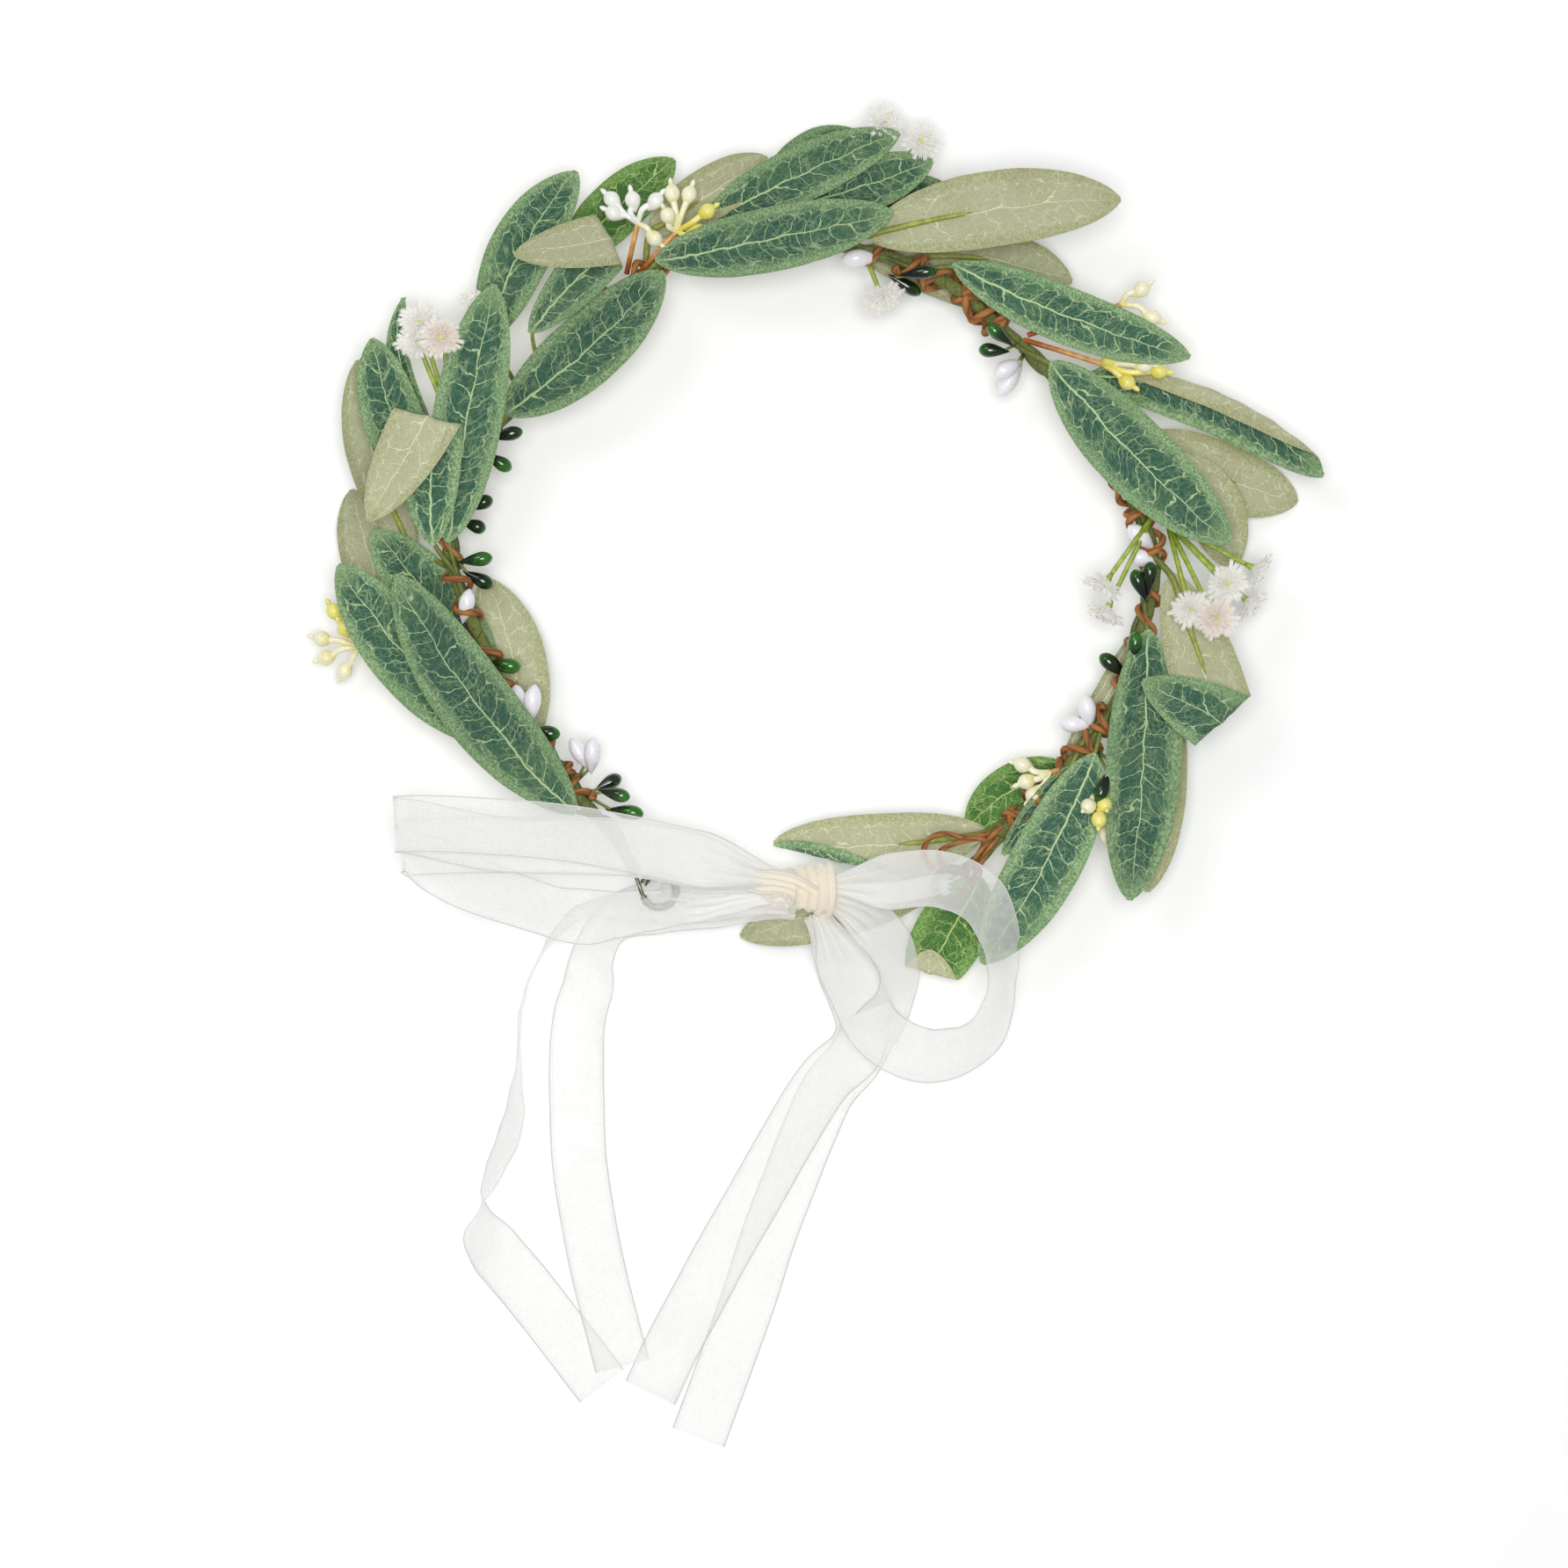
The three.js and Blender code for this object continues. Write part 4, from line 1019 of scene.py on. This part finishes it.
# ---------------------------------------------------------------- cream sprigs
# A sprig is a foot, a fork and the knobs round it. A knob's number is its colour: 0 cream, 1 yellow
# or 2 white, which KNOB_PAINTS turns into a place among the piece's materials.
KNOB_RADIUS = 2.15
KNOB_PAINTS = (0, 1, 3)
CREAM_SPRIGS = {
    "left": (
        (-104, -24, 13), (-118.5, -22.5, 12),
        [
            (-125, -12.8, 13, 1), (-128.6, -20.2, 12, 0), (-127.6, -25.4, 10, 0), (-122.6, -29, 9, 0),
            (-122, -17.5, 14, 1),
        ],
    ),
    "top": (
        (-48, 79, 17), (-43.5, 89.6, 22),
        [
            (-50.5, 96.2, 21, 2), (-44.8, 95.8, 23, 2), (-50, 92.4, 22, 2), (-38.6, 95.4, 24, 2),
            (-39, 85.6, 21, 0),
        ],
    ),
    "right_upper": (
        (60, 60.5, 17), (80, 52.5, 19),
        [(86.5, 47.5, 21, 1), (91, 52, 21.5, 0), (95, 50.5, 20.5, 1), (82, 54, 20, 1)],
    ),
    "right_lower": (
        (78, -52, 16), (79.5, -62, 19),
        [(75.8, -65, 24.5, 0), (78.6, -68.6, 25, 1), (80.2, -64.6, 23.5, 1), (81, -72.5, 18.5, 0)],
    ),
}
MORE_CREAM_SPRIGS = {
    "top_yellow": (
        (-44, 77, 16), (-33.2, 87.6, 21),
        [
            (-25, 92.6, 23.5, 1), (-27.4, 87.6, 21.5, 1), (-34.4, 97.6, 23, 0), (-29.8, 97.4, 22, 0),
            (-35.5, 91.5, 24, 0),
        ],
    ),
    "right_far": ((62, 63, 16), (85, 68.6, 17), [(90.6, 72.6, 18.5, 0), (93.6, 65, 17.5, 0)]),
    "right_end": (
        (70, -55, 18), (66, -56, 19), [(58.5, -54, 20, 0), (59.5, -58.5, 20, 0), (61.5, -62, 19, 0)],
    ),
}


def make_cream_sprig(name, foot, fork, knobs, packed):
    shape = Shape()
    root, _ = stem_at(nearest_on_stem(foot))
    add_stalk(shape, (root + np.array(foot)) / 2, fork, 0.75, 0.7, 2, dice.random(), 1.0)
    for x, y, z, colour in knobs:
        end = np.array([x, y, z], float)
        out = unit(end - np.array(fork, float))
        paint = KNOB_PAINTS[colour]
        aside = unit(np.cross(out, UP))
        bend = (end + np.array(fork, float)) / 2 + aside * 1.3 * math.sin(2 * x) + UP * 0.8
        stalk = smooth_path([fork, bend, end - out * 1.5], 1.0)
        add_tube(shape, stalk, np.linspace(0.7, 0.95, len(stalk)), 8, paint, dice.random())
        add_bulb(
            shape, end - out * 3.6, end + out * 2.5, KNOB_RADIUS, 1.25, 0.72, paint, dice.random(), 14, 12,
        )
        add_bulb(
            shape, end + out * 1.4, end + out * 4.0 + UP * 0.4, 0.72, 1.0, 0.7, paint, dice.random(), 8, 8,
        )
    materials = [PAINTS["cream"], PAINTS["yellow"], PAINTS["orange_stalk"], PAINTS["white"]]
    nodes = [f"cream_sprig_{name}"] if packed else []
    make_piece(f"cream_knobs_{name}", shape, materials, nodes)


for group in (CREAM_SPRIGS, MORE_CREAM_SPRIGS):
    for name, (foot, fork, knobs) in group.items():
        make_cream_sprig(name, foot, fork, knobs, group is CREAM_SPRIGS)

# ---------------------------------------------------------------- the ribbon
# Each stretch follows its points, whose fourth number is how far it is rolled about its own line, in
# degrees. `across` is the way its width points at the start, or None where it starts level.
# `gathered` names the ends that are drawn together, and `least` is the share of the width left there.
RIBBON_WIDTH = 15
RIBBON_THICKNESS = 0.12
GATHER_LENGTH = 24
PLEATS = 4
RIBBON_COLUMNS = 32
RIBBON_STEP = 1.5
FAR_OFF = 1e9  # the distance to an end that isn't gathered
WHOLE_LENGTH = 4000  # a gather so long that the whole stretch is drawn together evenly
KNOT_REACH = 62  # how far from the knot the ribbon's layers crowd together


def ribbon_surface(points, across, gathered, least=0.35, gather=GATHER_LENGTH, seed=0.0):
    path = smooth_path([(*point, 0) if len(point) == 3 else point for point in points], RIBBON_STEP)
    length = length_of(path)
    ahead = headings(path)
    side = None if across is None else unit(np.array(across, float))
    x = np.linspace(-0.5, 0.5, RIBBON_COLUMNS + 1)
    rows, normals = [], []
    for i, (here, forward) in enumerate(zip(path, ahead)):
        along = i / (len(path) - 1) * length
        side = unit(np.cross(UP, forward)) if across is None else unit(side - forward * (side @ forward))
        up = np.cross(forward, side)
        roll = math.radians(here[3])
        wide = side * math.cos(roll) + up * math.sin(roll)
        face = np.cross(forward, wide)
        from_start = along if gathered in ("both", "start") else FAR_OFF
        from_end = length - along if gathered in ("both", "end") else FAR_OFF
        nearest = min(from_start, from_end)
        left = least + (1 - least) * eased(nearest / gather)
        depth = math.sqrt(max(1 - left * left, 0)) * math.sqrt(2) * RIBBON_WIDTH / (2 * math.pi * PLEATS)
        pleat = depth * np.sin(2 * math.pi * PLEATS * x + 7 * seed + 0.8 * math.sin(along * 0.11))
        slow_wave = 0.30 * np.sin(along * 0.23 + 2.2 * x + 9 * seed)
        wave = slow_wave + 0.16 * np.sin(along * 0.61 - 5 * x + 4 * seed)
        lifted = pleat + wave * min(1, nearest / 9)
        line = here[:3] + wide * (x * RIBBON_WIDTH * left)[:, None] + face * lifted[:, None]
        rows.append(line)
        normals.append(np.broadcast_to(face, line.shape))
    return np.array(rows), np.array(normals), length, x * 2


def make_ribbon(
    name, points, across=None, gathered="neither", held="laid", rests_on=(), material="ribbon", **more,
):
    seed = dice.random()
    middle, normals, length, side = ribbon_surface(points, across, gathered, seed=seed, **more)
    middle[..., 2] = np.maximum(middle[..., 2], RIBBON_THICKNESS)
    along = np.linspace(0, length, len(middle))
    near = np.clip(1 - np.linalg.norm(middle - KNOT_CENTRE, axis=-1) / KNOT_REACH, 0, 1)
    place = np.stack(np.broadcast_arrays(side[None, :] * RIBBON_WIDTH / 2, along[:, None], 9 * seed), axis=-1)
    shares = np.stack(np.broadcast_arrays(side[None, :], along[:, None] / length, near), axis=-1)
    shape = Shape()
    upper = middle + normals * RIBBON_THICKNESS / 2
    lower = middle - normals * RIBBON_THICKNESS / 2
    add_slab(shape, upper, lower, place, shares)
    nodes = [name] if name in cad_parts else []
    piece = make_piece(f"organza_{name}", shape, [PAINTS[material]], nodes, crease=80)


def make_ribbons():
    for hand, eye_x, eye_y, knot_x in (("left", -38, -87.6, -4.5), ("right", 40, -86, 6.8)):
        level = [
            (knot_x, -87.6), (knot_x + (eye_x - knot_x) * 0.5, -88.2), (eye_x - 4 * np.sign(eye_x), eye_y),
        ]
        over = [(x, y, z) for (x, y), z in zip(level, (18.2, 17.6, 17.8))]
        under = [(x, y, z) for (x, y), z in zip(reversed(level), (14.2, 14.4, 16.2))]
        make_ribbon(
            f"ribbon_strand_{hand}", [*over, (eye_x, eye_y, 16), *under], (0, 1, 0), "both", "gathered",
            ["core_wire_loop"], least=0.38, gather=WHOLE_LENGTH,
        )
    make_ribbon(
        "bow_loop_left_outer",
        [
            (-5.2, -84.5, 24), (-22, -80, 29), (-60, -72.3, 31), (-90, -69.8, 30.4), (-103, -69.5, 30),
            (-108, -69.8, 28),
            (-103, -70.4, 26), (-80, -75, 26), (-60, -75.8, 26.5), (-40, -77, 26), (-22, -81, 26),
            (-6.6, -85, 22),
        ],
        (0.15, 1, 0), "both", "folded", ["bow_knot_core"],
    )
    make_ribbon(
        "bow_loop_left_inner",
        [
            (-6.6, -86.5, 20.6, 0), (-24, -80.5, 24), (-43, -76.3, 24.5), (-60, -75.3, 24),
            (-75, -75.2, 23.5), (-90, -75.3, 23.2),
            (-101, -75.8, 22.8), (-106.5, -76.4, 21.2), (-101, -78.6, 19.8, 16), (-90, -84.6, 19.6, 52),
            (-82, -87.8, 19.6, 62),
            (-75.7, -90, 20, 66), (-64.7, -93.4, 20, 66), (-57, -94.4, 20, 45), (-49.7, -93.8, 20, 15),
            (-32.6, -91.8, 20), (-22, -90.2, 20),
            (-8.6, -89, 19.4),
        ],
        (0, 1, 0), "both", "folded", ["bow_knot_core"],
    )
    make_ribbon(
        "bow_loop_right_outer",
        [
            (7, -86, 23.5), (20, -85.3, 25), (36, -84.2, 26), (47, -89, 26.5, -18), (52.6, -100, 26, -46),
            (52.4, -116, 20, -54),
            (46.5, -127.5, 13, -34), (34, -132, 9.5, -8), (21, -126, 9), (14, -113, 12), (8, -100, 17.5),
            (5, -94, 20),
        ],
        None, "both", "folded", ["bow_knot_core"], gather=17,
    )
    make_ribbon(
        "bow_loop_right_inner",
        [
            (7.4, -90, 20.6, 0), (16, -94.5, 19.5, -20), (23, -101, 17, -35), (26, -109, 13, -45),
            (24.5, -117, 9.5, -40), (19, -126, 6.5, -20),
        ],
        None, "start", "folded", ["bow_knot_core"], gather=15,
    )
    make_ribbon(
        "ribbon_tail_a",
        [
            (-3.5, -91.5, 13.4, 0), (-22, -89.5, 11.5, 20), (-45, -91.5, 10, 55), (-59, -93.4, 9.2, 76),
            (-67.6, -101, 8.4, 84),
            (-73.4, -113, 7.9, 86), (-75.9, -124.4, 7.8, 85), (-75.9, -134, 7.6, 80),
            (-77.3, -148.8, 7.2, 68), (-79.9, -156.4, 7, 64),
            (-83.2, -164.5, 7, 70), (-86, -171.5, 7, 88), (-87, -178, 5.2, 124), (-83, -184.5, 2.4, 158),
            (-74.5, -195, 0.5, 177),
            (-64, -208.5, 0.3, 180), (-53.9, -221.7, 0.3, 180),
        ],
        None, "start", "laid", ["table_top"],
    )
    make_ribbon(
        "ribbon_tail_b",
        [
            (-1.5, -93, 11.5, 0), (-20, -90.5, 8.5), (-38, -92, 8, 15), (-50, -95.5, 7.4, 40),
            (-55.6, -104, 6, 38), (-57.4, -113.4, 4.6, 24),
            (-59.9, -122, 3, 14), (-60.7, -133.8, 1.6, 4), (-60.6, -147, 1.0), (-60, -160.6, 0.9),
            (-57.7, -176.3, 0.9), (-54.6, -191.7, 0.9),
            (-48.3, -216.3, 0.9),
        ],
        None, "start", "laid", ["table_top"],
    )
    make_ribbon(
        "ribbon_tail_c",
        [
            (3, -94.4, 18), (8.5, -104, 9), (14.5, -116, 5), (16.6, -124.5, 3.4, -12),
            (14.6, -131, 2.4, -6), (6.3, -138.9, 1.7),
            (-5.2, -157.3, 1.5), (-11.8, -169, 1.5), (-20.9, -184.7, 1.9), (-27, -196, 2.1),
            (-34.5, -210, 1.9), (-40.8, -223.4, 1.6, 10),
        ],
        None, "start", "laid", ["organza_ribbon_tail_d"],
    )
    make_ribbon(
        "ribbon_tail_d",
        [
            (3, -94, 14), (9.5, -105, 6.5), (15.5, -116.5, 2.4), (17.8, -125.5, 1.2), (14.6, -133, 0.7),
            (7.6, -141.3, 0.3), (1.9, -153.5, 0.3), (-3.3, -166.7, 0.3),
            (-8.9, -181.4, 0.3), (-14.1, -197.8, 0.3), (-19.3, -212.4, 0.3), (-27.8, -235.6, 0.3),
        ],
        None, "start", "laid", ["table_top"],
    )


KNOT_HALF_SIZES = np.array([8.6, 5.4, 5.0])
KNOT_SLIDE = np.array([-3.4, 0, 0])  # the crumpled layers bulge out towards the left loops


def crumple(u, v, seed):
    """A repeatable crinkled height from -1 to 1, with sharp ridges."""
    rng = np.random.default_rng(seed)
    total = 0
    for octave in range(3):
        for _ in range(3):
            fu, fv = rng.normal(0, 1.6, 2) * 1.9**octave
            wave = np.sin(fu * u + fv * v + rng.uniform(0, 6.28))
            total = total + (1 - 2 * np.abs(wave)) / 1.7**octave
    return total / 5


def make_knot():
    """The crumpled layers in the middle, the band pulled tight round them and a ruffle beside it."""
    core = Shape()
    rows, columns = 70, 84
    x, angle = np.meshgrid(
        np.linspace(-1, 1, rows), np.linspace(0, 2 * math.pi, columns, endpoint=False), indexing="ij",
    )
    bulge = np.maximum(1 - np.abs(x) ** 2.2, 0.02) ** 0.5
    pleats = 0.05 * np.sin(15 * angle + 3.0 * np.sin(2.3 * x)) + 0.06 * np.sin(17 * x + 2 * np.sin(2 * angle))
    fold = 1 + pleats + 0.14 * crumple(
        3.6 * x + 1, 3.4 * np.cos(angle), 3,
    ) + 0.10 * crumple(3 * x, 3.6 * np.sin(angle), 8)
    points = np.stack(
        [
            x * KNOT_HALF_SIZES[0],
            KNOT_HALF_SIZES[1] * bulge * fold * np.cos(angle),
            KNOT_HALF_SIZES[2] * bulge * fold * np.sin(angle),
        ],
        axis=-1,
    )
    place = np.stack([x * 7.5, angle * 5, 0 * x], axis=-1)
    shares = np.stack([0.5 * x, angle / (2 * math.pi), 0 * x + 0.7], axis=-1)
    caps = [list(range(columns))[::-1], [(rows - 1) * columns + i for i in range(columns)]]
    core.add(points + KNOT_CENTRE + KNOT_SLIDE, net(rows, columns, closed=True) + caps, 0, place, shares)
    piece = make_piece("bow_knot_core", core, [PAINTS["knot"]], ["bow_knot"], crease=180)
    band = []
    for i in range(61):
        turn = 2 * math.pi * 1.25 * i / 60 + 0.9
        lean = 1.6 * math.sin(turn)
        reach = np.array([0, math.cos(turn), math.sin(turn)]) * (KNOT_HALF_SIZES + 0.5 + 0.4 * i / 60)
        band.append(tuple(KNOT_CENTRE + [1.2 + lean, 0, 0] + reach))
    make_ribbon(
        "knot_band", band, (1, 0.2, 0), "both", "gathered", ["bow_knot_core"], "knot", least=0.72,
        gather=WHOLE_LENGTH,
    )
    ruffle = [(-16, -83.5, 23.5), (-11, -85, 25.6), (-6, -85.2, 26.6), (-1.5, -86.5, 26.8), (2, -89, 25.4)]
    make_ribbon(
        "knot_ruffle", ruffle, (0.2, 1, 0.6), "both", "gathered", ["bow_knot_core"], "knot", least=0.5,
        gather=WHOLE_LENGTH,
    )


make_ribbons()
make_knot()

# ---------------------------------------------------------------- table, light and camera
# The camera looks straight down on a square of the table.
VIEW_CENTRE = ORIGIN + np.array([-4.7, -59.1, STEM_HEIGHT]) * MM
VIEW_WIDTH = 418 * MM
LENS, SENSOR = 100.0, 36.0
TABLE_HALF_WIDTH = 3.0
TABLE_DROP = 0.0002  # keeps the table just below the lowest ribbon
WORLD_STRENGTH = 0.30
LAMP_SIZE = 0.6
OVERHEAD_WATTS = 10.2
KEY_WATTS = 3.0


def make_table():
    mesh = bpy.data.meshes.new("table_top")
    half = TABLE_HALF_WIDTH
    mesh.from_pydata(
        [(-half, -half, 0), (half, -half, 0), (half, half, 0), (-half, half, 0)], [], [(0, 1, 2, 3)],
    )
    mesh.materials.append(floor_paint())
    table = bpy.data.objects.new("table_top", mesh)
    bpy.context.scene.collection.objects.link(table)
    table.location.z = -TABLE_DROP


def make_lamp(name, place, watts):
    """A round lamp that faces the origin."""
    lamp = bpy.data.lights.new(name, "AREA")
    lamp.shape = "DISK"
    lamp.size = LAMP_SIZE
    lamp.energy = watts
    holder = bpy.data.objects.new(name, lamp)
    bpy.context.scene.collection.objects.link(holder)
    holder.location = place
    holder.rotation_mode = "QUATERNION"
    holder.rotation_quaternion = Vector(place).to_track_quat("Z", "Y")


def make_light():
    world = bpy.data.worlds.new("studio")
    bpy.context.scene.world = world
    world.use_nodes = True
    background = world.node_tree.nodes["Background"]
    background.inputs["Color"].default_value = (1.0, 1.0, 1.0, 1.0)
    background.inputs["Strength"].default_value = WORLD_STRENGTH
    make_lamp("overhead", (0.0, 0.0, 1.3), OVERHEAD_WATTS)
    make_lamp("key", (-0.6, 0.7, 1.2), KEY_WATTS)
    bpy.context.scene.view_settings.view_transform = "Standard"
    bpy.context.scene.view_settings.look = "None"
    bpy.context.scene.cycles.transparent_max_bounces = 40


def make_camera():
    lens = bpy.data.cameras.new("camera")
    lens.lens = LENS
    lens.sensor_width = SENSOR
    camera = bpy.data.objects.new("camera", lens)
    bpy.context.scene.collection.objects.link(camera)
    camera.location = VIEW_CENTRE + np.array([0, 0, VIEW_WIDTH * LENS / SENSOR])
    bpy.context.scene.camera = camera


make_table()
make_light()
make_camera()
